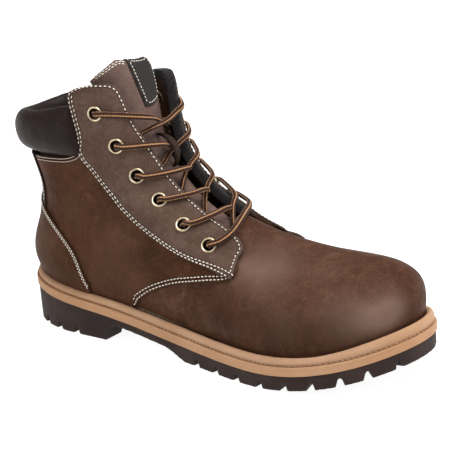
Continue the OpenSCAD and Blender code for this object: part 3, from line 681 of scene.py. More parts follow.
def textile(name, base, raised, scale=900, rough=0.85, sheen=0.075):
    """Woven cloth; scale sets how fine the weave is."""
    mat = Shader(name)
    x, y, z = mat.separate(mat.coords)
    warp = mat.calc("SINE", mat.times(mat.plus(x, z), scale * 2.2))
    weft = mat.calc("SINE", mat.times(mat.minus(y, mat.minus(x, z)), scale * 2.0))
    weave = mat.times(warp, weft)
    fuzz = mat.noise(scale=300)
    broad = mat.noise(scale=30)
    mat.colour = mat.mix(mat.ramp(weave, span=(-0.6, 0.9), to=(0, 0.8)), base, raised)
    mat.tint(mat.ramp(broad, span=(0.35, 0.7), to=(0, 0.4)), raised)
    mat.bump(weave, depth=0.00025, strength=0.5)
    mat.bump(fuzz, depth=0.0003, strength=0.3)
    return mat.finish(mat.ramp(fuzz, span=(0.3, 0.7), to=(rough - 0.05, rough + 0.08)),
                      Sheen_Weight=sheen, Specular_IOR_Level=0.1)


def rubber(name, base, light):
    mat = Shader(name)
    broad = mat.noise(scale=40)
    fine = mat.noise(scale=700, detail=4, rough=0.7)
    grit = mat.noise(scale=2400, detail=2, rough=0.5)
    mat.colour = mat.mix(mat.ramp(broad, span=(0.35, 0.7), smooth=True), base, light)
    mat.tint(mat.ramp(fine, span=(0.5, 0.8), to=(0, 0.35)),
             mat.mix(0.5, mat.colour, (0.09, 0.08, 0.075)))
    worn = mat.node("ShaderNodeNewGeometry").outputs["Pointiness"]
    mat.tint(mat.ramp(worn, span=(0.52, 0.6), to=(0, 0.4)), (0.09, 0.078, 0.072))
    mat.bump(fine, depth=0.00025, strength=0.5)
    mat.bump(grit, depth=0.00012, strength=0.4)
    return mat.finish(mat.ramp(fine, span=(0.3, 0.7), to=(0.56, 0.74)), Specular_IOR_Level=0.12)


def tan_rubber(name, base, light, line):
    """Sole edge with fine lines along it, from the attribute h_mm (height up the edge), and painted
    shade from the attribute groove.
    """
    mat = Shader(name)
    height = mat.attribute("h_mm")
    broad = mat.noise(scale=26, detail=4)
    medium = mat.noise(scale=150)
    fine = mat.noise(scale=900)
    lines = mat.calc("SINE", mat.plus(mat.times(height, 9.0), mat.times(medium, 1.6)))
    stretched = mat.node("ShaderNodeCombineXYZ")
    x, y, _ = mat.separate(mat.coords)
    for i, (value, factor) in enumerate(((x, 45.0), (y, 45.0), (height, 3.2))):
        mat.link(mat.times(value, factor), stretched.inputs[i])
    streaks = mat.noise(scale=1.0, detail=4, rough=0.65, at=stretched.outputs[0])
    mat.colour = mat.mix(mat.ramp(broad, span=(0.3, 0.7), smooth=True), base, light)
    mat.tint(mat.ramp(streaks, span=(0.45, 0.75), to=(0, 0.45)), line)
    mat.tint(mat.ramp(lines, span=(0.55, 1.0), to=(0, 0.12)), line)
    mat.tint(mat.ramp(fine, span=(0.35, 0.8), to=(0.0, 0.12)), (0.30, 0.18, 0.10))
    # painted shade in the groove between welt and midsole, on the midsole's hidden top and on the
    # bead's inner side
    mat.tint(mat.ramp(mat.attribute("groove"), span=(0.0, 1.0), to=(0, 0.8)),
             (0.25, 0.125, 0.06))
    mat.bump(lines, depth=0.0002, strength=0.35)
    mat.bump(streaks, depth=0.0004, strength=0.35)
    mat.bump(fine, depth=0.0002, strength=0.35)
    return mat.finish(mat.ramp(medium, span=(0.3, 0.7), to=(0.5, 0.68)), Specular_IOR_Level=0.12)


def thread(name, base, light):
    mat = Shader(name)
    broad = mat.noise(scale=60, detail=2, rough=0.5)
    wave = mat.node("ShaderNodeTexWave")
    wave.inputs["Scale"].default_value = 900
    wave.inputs["Distortion"].default_value = 1.5
    wave.bands_direction = "DIAGONAL"
    mat.link(mat.coords, wave.inputs["Vector"])
    twist = wave.outputs[1]
    mat.colour = mat.mix(mat.ramp(broad, span=(0.3, 0.7)), base, light)
    mat.tint(mat.ramp(twist, span=(0.2, 0.9), to=(0.35, 0)), scaled(base, 0.45))
    mat.bump(twist, depth=0.0002, strength=0.6)
    return mat.finish(0.7, Sheen_Weight=0.25, Specular_IOR_Level=0.3)


def brass(name):
    """Brass, darkened with painted shade where the attribute recess is high."""
    mat = Shader(name)
    medium, fine = mat.noise(scale=180, detail=4), mat.noise(scale=1200)
    mat.colour = mat.mix(mat.ramp(medium, span=(0.35, 0.7), smooth=True),
                         (0.52, 0.42, 0.27), (0.70, 0.60, 0.43))
    # painted shade inside the eyelet barrel, under the rim and over the washers
    mat.tint(mat.ramp(mat.attribute("painted_recess_shade"), span=(0.0, 1.0), to=(0, 0.92)),
             (0.06, 0.037, 0.02))
    mat.tint(mat.ramp(fine, span=(0.55, 0.8), to=(0, 0.5)), (0.20, 0.13, 0.07))
    mat.bump(fine, depth=0.0001, strength=0.35)
    return mat.finish(mat.ramp(medium, span=(0.3, 0.7), to=(0.24, 0.42)), Metallic=0.95)


def lace_cord(name):
    """Dark braid with four orange stripes. The UV map has millimetres along, turns round."""
    mat = Shader(name)
    uv_map = mat.node("ShaderNodeUVMap")
    uv_map.uv_map = "UVMap"
    along, turn, _ = mat.separate(uv_map.outputs[0])
    stripes = mat.calc("COSINE", mat.times(turn, 2 * math.pi * 4))
    zigzags = [mat.calc("PINGPONG", combine(mat.times(along, 0.62), mat.times(turn, 8.0)), 0.5)
               for combine in (mat.plus, mat.minus)]
    braid = mat.calc("MAXIMUM", *zigzags)
    fuzz = mat.noise(scale=900)
    striped = mat.plus(stripes, mat.times(mat.minus(braid, 0.37), 1.5))
    orange = mat.mix(mat.ramp(fuzz, span=(0.3, 0.7)), (0.30, 0.125, 0.045), (0.46, 0.23, 0.10))
    mat.colour = mat.mix(mat.ramp(striped, span=(0.5, 0.85), smooth=True),
                         (0.030, 0.013, 0.0085), orange)
    mat.tint(mat.times(mat.ramp(stripes, span=(0.86, 1.0), to=(0, 0.8), smooth=True),
                       mat.ramp(braid, span=(0.3, 0.48))), (0.62, 0.42, 0.24))
    mat.bump(braid, depth=0.0006, strength=0.8)
    mat.bump(fuzz, depth=0.00025, strength=0.4)
    return mat.finish(0.75, Sheen_Weight=0.05, Specular_IOR_Level=0.12)


def plain(name, base, light, rough, metal=0.0, scale=120, relief=0.0002):
    mat = Shader(name)
    medium, fine = mat.noise(scale=scale, detail=4), mat.noise(scale=scale * 9)
    mat.colour = mat.mix(mat.ramp(medium, span=(0.3, 0.7), smooth=True), base, light)
    mat.tint(mat.ramp(fine, span=(0.45, 0.8), to=(0, 0.3)), scaled(base, 0.6))
    mat.bump(fine, depth=relief, strength=0.5)
    return mat.finish(mat.ramp(medium, span=(0.3, 0.7), to=(rough - 0.08, rough + 0.08)),
                      Metallic=metal, Specular_IOR_Level=0.4)


BROWN = leather(
    "brown_leather", dark=(0.03444, 0.01231, 0.005024), middle=(0.06296, 0.02455, 0.0111),
    light=(0.1137, 0.05332, 0.02817), red=(0.07175, 0.02455, 0.01026))
FACING_BROWN = leather(
    "brown_leather_facing", dark=(0.06287, 0.03464, 0.02401), middle=(0.1003, 0.06232, 0.04752),
    light=(0.1518, 0.1045, 0.08744), red=(0.0874, 0.04592, 0.03168), shift=3.1)
VAMP_BROWN = leather(
    "brown_leather_vamp", dark=(0.03882, 0.01492, 0.007425), middle=(0.07672, 0.03302, 0.01854),
    light=(0.1286, 0.06934, 0.04528), red=(0.07999, 0.02963, 0.01466), shift=1.7)
TONGUE_BROWN = leather(
    "brown_leather_tongue", dark=(0.09576, 0.05826, 0.04628), middle=(0.1389, 0.09062, 0.0763),
    light=(0.1915, 0.136, 0.1226), red=(0.1149, 0.06473, 0.05003), shift=5.2, panel=False)
GUSSET_BROWN = leather(
    "brown_leather_gusset", dark=(0.060, 0.030, 0.020), middle=(0.090, 0.050, 0.036),
    light=(0.13, 0.078, 0.060), red=(0.075, 0.036, 0.024), shift=6.2)
KEEPER_BROWN = leather(
    "keeper_leather", dark=(0.016, 0.0085, 0.006), middle=(0.028, 0.016, 0.012),
    light=(0.05, 0.031, 0.024), red=(0.030, 0.015, 0.010), gloss=0.1, shift=4.4, panel=False)
COLLAR_TONES = dict(
    dark=(0.0112, 0.00589, 0.00493), middle=(0.0182, 0.01023, 0.008584),
    light=(0.0315, 0.01984, 0.01682), red=(0.0182, 0.00899, 0.00696), rough=0.42)
COLLAR_LEATHER = leather("collar_leather", **COLLAR_TONES, gloss=0.09, shift=8.3, panel=False)
BACKSTAY_LEATHER = leather("collar_leather_flat", **COLLAR_TONES, gloss=0.07, shift=8.9,
                           cut_edge=(0.0056, 0.00372, 0.0029))
BLACK_LINING = textile("black_lining", (0.010, 0.009, 0.009), (0.026, 0.023, 0.023))
LINING = textile("textile_lining", (0.02, 0.016, 0.014), (0.05, 0.042, 0.037), scale=700)
LABEL = textile("woven_label", (0.014, 0.01156, 0.01156), (0.042, 0.03536, 0.03536),
                scale=1500, rough=0.75, sheen=0.0375)
RUBBER = rubber("outsole_rubber", (0.02152, 0.01242, 0.01057), (0.03418, 0.02079, 0.01784))
MIDSOLE_TAN = tan_rubber("tan_midsole", (0.3744, 0.2006, 0.1022), (0.4464, 0.2575, 0.1455),
                         line=(0.3168, 0.1672, 0.08359))
WELT_TAN = tan_rubber("tan_welt", (0.3648, 0.2079, 0.1165), (0.4451, 0.2703, 0.1664),
                      line=(0.3065, 0.1698, 0.09319))
CREAM_THREAD = thread("cream_thread", (0.72, 0.64, 0.53), (0.86, 0.80, 0.70))
TAN_THREAD = thread("tan_thread", (0.50, 0.40, 0.31), (0.62, 0.52, 0.42))
WELT_THREAD = thread("welt_thread", (0.36, 0.20, 0.10), (0.50, 0.30, 0.17))
BRASS = brass("antique_brass")
LACE = lace_cord("lace_cord")
STEEL = plain("toe_steel", (0.42, 0.43, 0.45), (0.56, 0.57, 0.59), 0.34, metal=1.0, scale=60)
CORK = plain("cork", (0.36, 0.22, 0.11), (0.55, 0.37, 0.2), 0.85, scale=260, relief=0.0006)
BOARD = plain("fibre_board", (0.46, 0.36, 0.24), (0.6, 0.5, 0.36), 0.8, scale=90)
AGLET = plain("aglet_plastic", (0.05, 0.024, 0.014), (0.09, 0.045, 0.026), 0.25, scale=90)
FOOTBED_FABRIC = textile("footbed_fabric", (0.014, 0.014, 0.016), (0.04, 0.04, 0.045),
                         scale=1000)

# ------------------------------------------------------------------ rows of stitches
stitch_rows = []                # points, normals, pitch, length, radius, object name, thread
seams = {"lateral": [], "medial": [], "heel": []}       # dense points along rows on panels
STITCH_SIDES, STITCH_RINGS = 8, 7


def add_row(points, normals, pitch, length, radius, name, material=CREAM_THREAD):
    stitch_rows.append((points, normals, pitch, length, radius, name, material))


def panel_row(panel, place, uv, pitch=3.0, length=1.9, radius=0.36, material=CREAM_THREAD):
    """A row of stitches along (u, v) points on a panel, which also makes a seam."""
    points = offset(uv, panel.high)
    run = run_length(points)
    seams[place].append(interp_rows(np.arange(0, run[-1], 0.8), run, points))
    name = f"stitching_{place}" + ("_tan" if material is TAN_THREAD else "")
    add_row(points, normal(uv), pitch, length, radius, name, material)


def stitch_mesh(points, normals, pitch, length, radius):
    run = run_length(points)
    count = max(int((run[-1] - pitch * 0.3) / pitch), 1)
    first = (run[-1] - count * pitch) / 2
    reach = np.linspace(-1, 1, STITCH_RINGS)
    thickness = radius * np.sqrt(np.maximum(1 - (np.abs(reach) * 0.93) ** 5, 0.02))[:, None]
    height = radius * 0.55 - radius * 1.25 * np.abs(reach) ** 3.5      # the ends dive in
    faces = tube_faces(STITCH_RINGS, STITCH_SIDES) + end_caps(STITCH_RINGS, STITCH_SIDES)
    parts = []
    for i in range(count):
        at = first + (i + 0.5) * pitch + reach * length / 2
        centres = interp_rows(at, run, points)
        up = unit(interp_rows(at, run, normals))
        across = unit(np.cross(up, unit(np.gradient(centres, axis=0))))
        lift, skew = 0.06 * RNG.standard_normal(2)
        centres = (centres + up * (height + lift * 0.5)[:, None]
                   + across * (skew * reach)[:, None])
        verts = oval_rings(centres, across, up, thickness, 0.85 * thickness, STITCH_SIDES)
        parts.append((verts, faces))
    return merge(parts)


# ------------------------------------------------------------------ outer panels
# Distances of the layers from the skin.
QUARTER_IN, QUARTER_OUT = 0.15, 1.75
EYESTAY_IN, EYESTAY_OUT = 1.85, 3.45
# All outlines are (u, v) points. Eyelets run from the top down.
EYELETS = {
    "lateral": [[5.43, 8.74], [5.63, 7.99], [5.79, 7.34], [5.98, 6.75], [6.03, 6.07],
                [6.12, 5.36]],
    "medial": [[16 - u, v] for u, v in (
        (5.33, 8.5), (5.5, 7.9), (5.5, 7.52), (5.55, 7.06), (5.5, 6.48), (5.6, 6.03))]}
QUARTER_BOTTOM = [
    [0.02, -0.22], [1.2, -0.22], [2.4, -0.22], [3.1, -0.2], [3.3, 0.0], [3.42, 0.6], [3.62, 1.2],
    [3.9, 1.74], [4.3, 2.38], [4.8, 2.98], [5.32, 3.4], [5.75, 3.95], [6.3, 4.78], [6.84, 5.3],
    [7.0, 5.75]]
QUARTER_TOP = [
    [0.02, 6.5], [1, 6.55], [2.0, 6.82], [2.55, 7.0], [2.9, 7.14], [3.3, 7.36], [3.55, 7.52],
    [3.8, 7.72], [4.0, 7.92], [4.25, 8.3], [4.5, 8.9], [4.75, 9.16], [5.3, 9.28], [5.85, 9.27],
    [6.3, 9.12]]
VAMP_BOTTOM = both_sides([
    [3.0, -0.1], [3.6, -0.15], [4.2, -0.2], [4.8, -0.25], [5.4, -0.3], [6.0, -0.35],
    [6.6, -0.38], [7.1, -0.4], [7.55, -0.4], [8, -0.4]])
VAMP_TOP = both_sides([
    [3.02, 0.25], [3.42, 1.45], [3.85, 2.15], [4.4, 2.8], [5.0, 3.55], [5.6, 4.3], [6.2, 4.95],
    [6.8, 5.45], [7.4, 5.75], [8, 5.85]])
COUNTER_BOTTOM = about_heel([[i * 2.55 / 6, -0.22] for i in range(7)])
COUNTER_TOP = about_heel([
    [0, 4.5], [0.7, 4.28], [1.38, 3.8], [1.86, 3.28], [2.2, 2.65], [2.42, 1.85], [2.58, 0.5]])
EYESTAY_BACK = [
    [5.3, 9.38], [4.95, 9.35], [4.7, 9.28], [4.55, 9.1], [4.42, 8.72], [4.16, 8.13], [3.8, 7.72],
    [3.74, 7.42], [3.92, 7.08], [4.05, 6.5], [4.07, 6.15], [4.07, 5.81], [4.16, 5.2],
    [4.34, 4.78], [4.57, 4.38], [4.85, 4.1], [5.12, 3.86], [5.34, 3.46]]
EYESTAY_FRONT = [
    [5.5, 9.39], [6.0, 9.37], [6.3, 9.31], [6.46, 9.18], [6.52, 8.95], [6.53, 8.62],
    [6.58, 8.25], [6.77, 7.7], [6.88, 7.3], [6.96, 6.9], [7.01, 6.5], [7.03, 6.1], [7.08, 5.78],
    [7.06, 5.52], [6.86, 5.2], [6.3, 4.72], [5.8, 4.08], [5.42, 3.44]]
BACKSTAY_BOTTOM = about_heel([[0, 4.38], [0.35, 4.32], [0.7, 4.2], [1.05, 4.0], [1.42, 3.62]])
BACKSTAY_TOP = about_heel([[0, 6.6], [0.35, 6.6], [0.7, 6.62], [1.05, 6.66], [1.42, 6.7]])


def eyestay_front(side):
    """The medial front edge lies farther from the toe line."""
    if side == "lateral":
        return EYESTAY_FRONT
    return [[u - (0.42 - 0.2 * float(smoothstep(8.0, 9.0, v))) * float(smoothstep(5.1, 5.9, v)),
             v] for u, v in EYESTAY_FRONT]


def stitch_side(side, eyestay, quarter):
    panel_row(eyestay, side, eyestay.inset(1, 1.9, 0.0, 0.985), length=1.85)
    panel_row(eyestay, side, eyestay.inset(0, 1.3, 0.0, 0.985))
    panel_row(eyestay, side, eyestay.inset(0, 3.45, 0.065, 0.98))
    # the short gap between the two edges at the top
    back = eyestay.inset(0, 1.3, 0.0, 0.01)[0]
    front = eyestay.inset(1, 1.9, 0.0, 0.01)[0]
    gap = back + (front - back) * np.linspace(0.1, 0.9, 40)[:, None]
    panel_row(eyestay, side, gap, length=1.8, radius=0.34)
    # lower edge of the quarter over the vamp
    panel_row(quarter, side, quarter.inset(0, 1.3, 0.47, 0.845))
    panel_row(quarter, side, quarter.inset(0, 3.6, 0.475, 0.83))
    # two close rows below the collar
    for gap in (0.9, 3.0):
        panel_row(quarter, side, quarter.inset(1, gap, 0.235, 0.56), pitch=2.1, radius=0.3,
                  material=TAN_THREAD)


def stitch_heel(counter, backstay):
    panel_row(counter, "heel", counter.inset(1, 0.95), 2.3, 1.75, 0.33)
    panel_row(counter, "heel", counter.inset(1, 2.2, 0.004, 0.996), 2.3, 1.75, 0.33)
    v = np.linspace(4.0, 6.55, 200)
    for sign in (-1, 1):
        panel_row(backstay, "heel", pairs(sign * (1.36 - 0.012 * (6.6 - v)), v), 2.5, 1.8, 0.32)


def build_outer_panels():
    quarters, eyestays = {}, {}
    for side, quarter_seed, eyestay_seed in (("lateral", 2.0, 4.0), ("medial", 9.0, 12.0)):
        quarters[side] = Panel(
            "quarter_" + side, (on_side(QUARTER_BOTTOM, side), on_side(QUARTER_TOP, side)),
            QUARTER_IN, QUARTER_OUT, cell=1.6, rounding=0.7, wobble=0.14, seed=quarter_seed)
        eyestays[side] = Panel(
            "eyestay_" + side,
            (on_side(EYESTAY_BACK, side), on_side(eyestay_front(side), side)),
            EYESTAY_IN, EYESTAY_OUT, cell=1.15, rounding=0.7, wobble=0.14, seed=eyestay_seed)
    vamp = Panel("vamp", (VAMP_BOTTOM, VAMP_TOP), -1.7, 0.0,
                 cell=1.8, rounding=0.7, wobble=0.12, seed=6.0)
    counter = Panel("heel_counter_cover", (COUNTER_BOTTOM, COUNTER_TOP), EYESTAY_IN,
                    EYESTAY_OUT, cell=1.5, rounding=0.7, wobble=0.12, seed=7.0)
    backstay = Panel("backstay", (BACKSTAY_BOTTOM, BACKSTAY_TOP), QUARTER_OUT + 0.02,
                     QUARTER_OUT + 1.1, cell=1.6, rounding=0.5, wobble=0.08, seed=8.0)
    for side in SIDES:
        stitch_side(side, eyestays[side], quarters[side])
    stitch_heel(counter, backstay)

    lines = {place: np.concatenate(rows) for place, rows in seams.items()}
    for side in SIDES:
        quarters[side].press_seams(np.concatenate([lines[side], lines["heel"]]))
        eyestays[side].press_seams(lines[side])
    for panel in (counter, backstay):
        panel.press_seams(np.concatenate(list(lines.values())))

    for side in SIDES:
        holes = EYELETS[side]
        stand_in(quarters[side].build(BROWN, holes), "quarter_" + side, slot="brown_leather")
        stand_in(eyestays[side].build(FACING_BROWN, holes, hole_radius=3.8), "eyestay_" + side,
                 slot="brown_leather")
    stand_in(vamp.build(VAMP_BROWN), "vamp", slot="brown_leather")
    stand_in(counter.build(BROWN), "heel_counter_cover", slot="brown_leather")
    stand_in(backstay.build(BACKSTAY_LEATHER), "backstay", slot="collar_leather")


build_outer_panels()

# ------------------------------------------------------------------ flap padding and linings
# Back and front edge of each flap's padding.
PADDING_EDGES = {
    "lateral": (
        [[5.2, 9.33], [4.8, 9.27], [4.6, 9.08], [4.48, 8.72], [4.25, 8.1], [4.0, 7.6],
         [4.05, 7.1], [4.2, 6.5], [4.3, 5.9], [4.6, 5.4], [5.0, 5.0], [5.4, 4.7]],
        [[5.6, 9.34], [6.22, 9.26], [6.42, 9.08], [6.48, 8.66], [6.54, 8.2], [6.7, 7.7],
         [6.82, 7.3], [6.9, 6.9], [6.96, 6.5], [6.99, 6.05], [7.0, 5.75], [6.9, 5.4]]),
    "medial": (
        [[5.1, 9.42], [4.72, 9.34], [4.5, 9.1], [4.44, 8.72], [4.25, 8.1], [4.0, 7.6],
         [4.05, 7.1], [4.2, 6.5], [4.5, 6.1], [5.0, 5.85], [5.5, 5.7], [5.9, 5.62]],
        [[5.6, 9.44], [6.32, 9.38], [6.57, 9.15], [6.61, 8.68], [6.67, 8.2], [6.85, 7.7],
         [6.96, 7.3], [7.04, 6.9], [7.09, 6.5], [7.08, 6.1], [6.98, 5.82], [6.6, 5.64]])}
PADDING_OUT = {"lateral": -0.05, "medial": 2.3}
FACING_BACK = [
    [5.2, 9.18], [4.9, 9.12], [4.75, 8.9], [4.7, 8.6], [4.6, 8.05], [4.5, 7.55], [4.55, 7.1],
    [4.65, 6.5], [4.75, 5.9], [5.0, 5.5], [5.3, 5.2], [5.6, 5.0]]
FACING_FRONT = [
    [5.6, 9.2], [6.06, 9.14], [6.24, 8.9], [6.28, 8.6], [6.36, 8.1], [6.48, 7.65], [6.58, 7.2],
    [6.64, 6.8], [6.66, 6.4], [6.66, 6.0], [6.66, 5.7], [6.5, 5.45]]
LINING_BOTTOM = [
    [0.02, 0.1], [1.2, 0.1], [2.4, 0.1], [3.3, 0.12], [4.0, 1.7], [4.8, 2.75], [5.5, 3.7],
    [6.2, 4.75], [6.6, 5.3], [6.75, 5.7]]
LINING_TOP = [
    [0.02, 7.0], [1, 7.05], [2.1, 7.25], [3, 7.42], [3.74, 7.75], [4.15, 8.15], [4.6, 8.8],
    [5.0, 8.9], [5.6, 8.95], [6.1, 8.85]]


def build_linings(side):
    holes = EYELETS[side]
    Panel("flap_padding_" + side, [on_side(edge, side) for edge in PADDING_EDGES[side]],
          -4.0, PADDING_OUT[side], cell=1.6, rounding=1.9, wobble=0.1).build(BLACK_LINING, holes)
    lining = Panel("quarter_lining_" + side,
                   (on_side(LINING_BOTTOM, side), on_side(LINING_TOP, side)),
                   -3.3, -2.2, cell=2.6, rounding=0.4, wobble=0.1)
    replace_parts(lining.build(LINING, holes), "quarter_lining_" + side)
    Panel("eyelet_facing_" + side, (on_side(FACING_BACK, side), on_side(FACING_FRONT, side)),
          -4.9, -4.02, cell=1.6, rounding=0.4, wobble=0.06).build(BROWN, holes)


for side in SIDES:
    build_linings(side)

# ------------------------------------------------------------------ eyelets and washers
# Closed profiles: radius, distance from the skin, recess (painted shade: 0 bright, 1 dark).
EYELET_PROFILE = np.array([
    (3.45, -4.9, 1), (3.38, -3.0, 1), (3.36, 2.0, 1), (3.4, 3.4, 0.9), (3.52, 3.85, 0.55),
    (3.74, 4.2, 0.2), (4.05, 4.42, 0), (4.4, 4.45, 0), (4.75, 4.28, 0), (5.0, 3.98, 0.1),
    (5.12, 3.66, 0.45), (5.1, 3.47, 0.9), (4.6, 3.46, 1), (3.72, 3.44, 1), (3.7, 2.0, 1),
    (3.7, -3.0, 1), (3.72, -4.85, 1)])
# The washers sit behind the lining and get painted shade all over.
WASHER_PROFILE = np.array([
    (3.6, -4.95, 0.6), (5.0, -4.95, 0.6), (5.15, -5.1, 0.6), (5.1, -5.35, 0.6),
    (4.7, -5.5, 0.6), (4.1, -5.5, 0.6), (3.7, -5.35, 0.6), (3.45, -5.15, 0.6)])
EYELET_SIDES = 72


def build_brass_rings(name, profile, places):
    angles = circle(EYELET_SIDES)[:, None]
    parts = []
    for uv in places:
        z = normal(uv)
        x = unit(np.cross([0, 1, 0], z))
        y = np.cross(z, x)
        ring = np.cos(angles) * x + np.sin(angles) * y
        verts = skin(uv) + profile[:, 0, None, None] * ring + profile[:, 1, None, None] * z
        parts.append((verts.reshape(-1, 3), tube_faces(len(profile), EYELET_SIDES, closed=True)))
    obj = make_object(name, *merge(parts), BRASS)
    set_attribute(obj, "painted_recess_shade", np.tile(np.repeat(profile[:, 2], EYELET_SIDES), len(places)))
    stand_in(obj, name, slot="antique_brass")


for side in SIDES:
    build_brass_rings("eyelets_" + side, EYELET_PROFILE, EYELETS[side])
    build_brass_rings("eyelet_washers_" + side, WASHER_PROFILE, EYELETS[side])


# ------------------------------------------------------------------ padded pieces
CLOTH_FRAMES = 20
CLOTH_SETTINGS = dict(
    quality=6, mass=0.15, use_pressure=True, uniform_pressure_force=4.0,
    tension_stiffness=18, compression_stiffness=18, bending_stiffness=1.2)


def blow_up(obj, limit):
    """A short pressure simulation that moves no point farther than the limit."""
    rest = np.array([v.co for v in obj.data.vertices])
    cloth = obj.modifiers.new("cloth", "CLOTH")
    for name, value in CLOTH_SETTINGS.items():
        setattr(cloth.settings, name, value)
    cloth.settings.effector_weights.gravity = 0
    cloth.collision_settings.use_collision = False
    cloth.point_cache.frame_start, cloth.point_cache.frame_end = 1, CLOTH_FRAMES
    scene = bpy.context.scene
    for i in range(1, CLOTH_FRAMES + 1):
        scene.frame_set(i)
    evaluated = obj.evaluated_get(bpy.context.evaluated_depsgraph_get())
    blown = np.array([v.co for v in evaluated.data.vertices])
    obj.modifiers.remove(cloth)
    scene.frame_set(1)
    # guards against a simulation that failed; the piece then keeps its drawn shape
    if blown.shape == rest.shape and np.isfinite(blown).all():
        move = blown - rest
        size = np.linalg.norm(move, axis=1, keepdims=True)
        cap = limit * MM
        move = move / np.maximum(size, 1e-12) * cap * np.tanh(size / cap)
        obj.data.vertices.foreach_set("co", (rest + move).astype(np.float32).ravel())
        obj.data.update()


def inflate(obj, voxel, limit):
    voxel_remesh(obj, voxel)
    blow_up(obj, limit)
    add_smooth(obj, iterations=3)
    subdivision = obj.modifiers.new("subsurf", "SUBSURF")
    subdivision.levels = subdivision.render_levels = 1
    bake(obj)
    smooth_shade(obj.data)


# ------------------------------------------------------------------ collar
# Lower and upper edge: share of the way from the heel line to either end, v.
COLLAR_LOWER = [[0, 6.62], [0.25, 6.66], [0.52, 6.88], [0.75, 7.12], [0.9, 7.3], [1, 7.46]]
COLLAR_UPPER = [[0, 8.5], [0.25, 8.6], [0.52, 8.82], [0.75, 8.97], [0.9, 9.04], [1, 9.06]]
COLLAR_THICKNESS = 9.6
COLLAR_SHRINK = 1.0             # the section is drawn smaller, to be blown up
COLLAR_SECTIONS, COLLAR_SIDES = 131, 44


def collar_section(place):
    """One closed section, at a place from -1 (medial end) to 1 (lateral end)."""
    share = abs(place)
    end = math.sqrt(max(1 - max((share - 0.925) / 0.075, 0) ** 2, 0))
    out = 1.3 + (COLLAR_THICKNESS * (1 - 0.22 * share**3) - 1.3) * end
    inner = 0.62 + 0.38 * end
    lower = np.interp(share, *zip(*COLLAR_LOWER))
    upper = np.interp(share, *zip(*COLLAR_UPPER))
    if place < 0:
        upper -= 0.42 * float(smoothstep(0.2, 0.85, share))     # the medial side is cut lower
    # share of the height, distance, then the shrink's direction along v and along distance
    height, distance, shrink_v, shrink_out = np.array([
        (0.02, 1.9, 1, 1), (0.09, 0.60 * out, 1, -1), (0.26, 0.92 * out, .5, -1),
        (0.5, out, 0, -1), (0.73, 0.9 * out, -.5, -1), (0.9, 0.62 * out, -1, -1),
        (1.0, 0.1 * out, -1.2, 0), (0.97, -3.6 * inner, -1, .6), (0.82, -6.1 * inner, -.5, 1),
        (0.55, -6.8 * inner, 0, 1), (0.28, -6.2 * inner, .5, 1), (0.1, -4.9 * inner, 1, 1),
        (0.03, -3.2 * inner, 1, -.2)]).T
    near = place * (1 - 0.006 * COLLAR_SHRINK)
    u = near * 3.74 + near**3 * (0.1 + 0.78 * height**0.62)
    v = lower + (upper - lower) * height + COLLAR_SHRINK * shrink_v / 14
    points = offset(pairs(u, v), distance + COLLAR_SHRINK * shrink_out)
    count = len(points)
    t = np.arange(COLLAR_SIDES) * count / COLLAR_SIDES
    i = np.floor(t).astype(int)
    return catmull(*[points[(i + k) % count] for k in (-1, 0, 1, 2)], (t - i)[:, None])


def build_collar():
    last = COLLAR_SECTIONS - 1
    verts = [collar_section(-1 + 2 * i / last) for i in range(COLLAR_SECTIONS)]
    faces = (tube_faces(COLLAR_SECTIONS, COLLAR_SIDES)
             + end_caps(COLLAR_SECTIONS, COLLAR_SIDES))
    collar = make_object("collar", np.concatenate(verts), faces, COLLAR_LEATHER, body=None)
    inflate(collar, voxel=3.4, limit=2.4)
    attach(collar, "boot")
    stand_in(collar, "collar_cover", "collar_foam", slot="collar_leather")


build_collar()

# ------------------------------------------------------------------ tongue
TONGUE_OUT, TONGUE_THICKNESS = -9.2, 6.2
TONGUE_MIDDLE = TONGUE_OUT - TONGUE_THICKNESS / 2
TONGUE_LENGTH, TONGUE_WIDTH = 118, 50
TONGUE_SHRINK = 0.7
TONGUE_LATERAL = [
    [6.55, 5.3], [6.45, 6.2], [6.3, 7.0], [6.1, 7.8], [5.75, 8.6], [5.3, 9.1], [5.02, 9.28]]
TONGUE_MEDIAL = [[16 - u, v] for u, v in TONGUE_LATERAL]


def tongue_uv(up, across):
    """Skin coordinates from shares up the tongue and across it from the lateral edge."""
    up, across = np.broadcast_arrays(np.asarray(up, float), np.asarray(across, float))
    start, end = curve(TONGUE_LATERAL, up), curve(TONGUE_MEDIAL, up)
    uv = start + across[..., None] * (end - start)
    arch = 0.46 * np.maximum(np.sin(np.pi * across), 0) ** 0.62
    uv[..., 1] += up**3 * (arch + 0.19 * np.exp(-((across - 0.36) / 0.2) ** 2))
    return uv


def tongue_sheets(rows=90, columns=50):
    """The pillow's front and back sheets, which meet in a round edge."""
    up, across = np.meshgrid(np.linspace(0, 1, rows), np.linspace(0, 1, columns), indexing="ij")

    def rounded(gap, radius):
        return np.sqrt(np.clip(1 - (1 - np.clip(gap / radius, 0, 1)) ** 2, 0, 1))

    sides = rounded(np.minimum(across, 1 - across) * TONGUE_WIDTH, 5.0)
    top = rounded((1 - up) * TONGUE_LENGTH, 4.5)
    bottom = rounded(up * TONGUE_LENGTH, 6.0)
    half = ((TONGUE_THICKNESS / 2 - TONGUE_SHRINK)
            * np.minimum(np.minimum(sides, top), bottom) + 0.05)
    uv = tongue_uv(up * (1 - TONGUE_SHRINK / 120), 0.5 + (across - 0.5) * (1 - TONGUE_SHRINK / 26))
    # between the flaps the lower part fills out towards the laces
    fill = (3.6 * (1 - smoothstep(0.3, 0.58, up))
            * np.clip(1 - ((uv[..., 0] - 8) / 0.98) ** 2, 0, 1))
    # the upper medial shoulder is tucked back into the boot
    tuck = smoothstep(0.6, 0.8, across) * smoothstep(0.6, 1.0, up)
    shift = tuck[..., None] * np.array([-4.5, -3.6, -5.0])
    middle = TONGUE_MIDDLE + fill
    return offset(uv, middle + half) + shift, offset(uv, middle - half) + shift


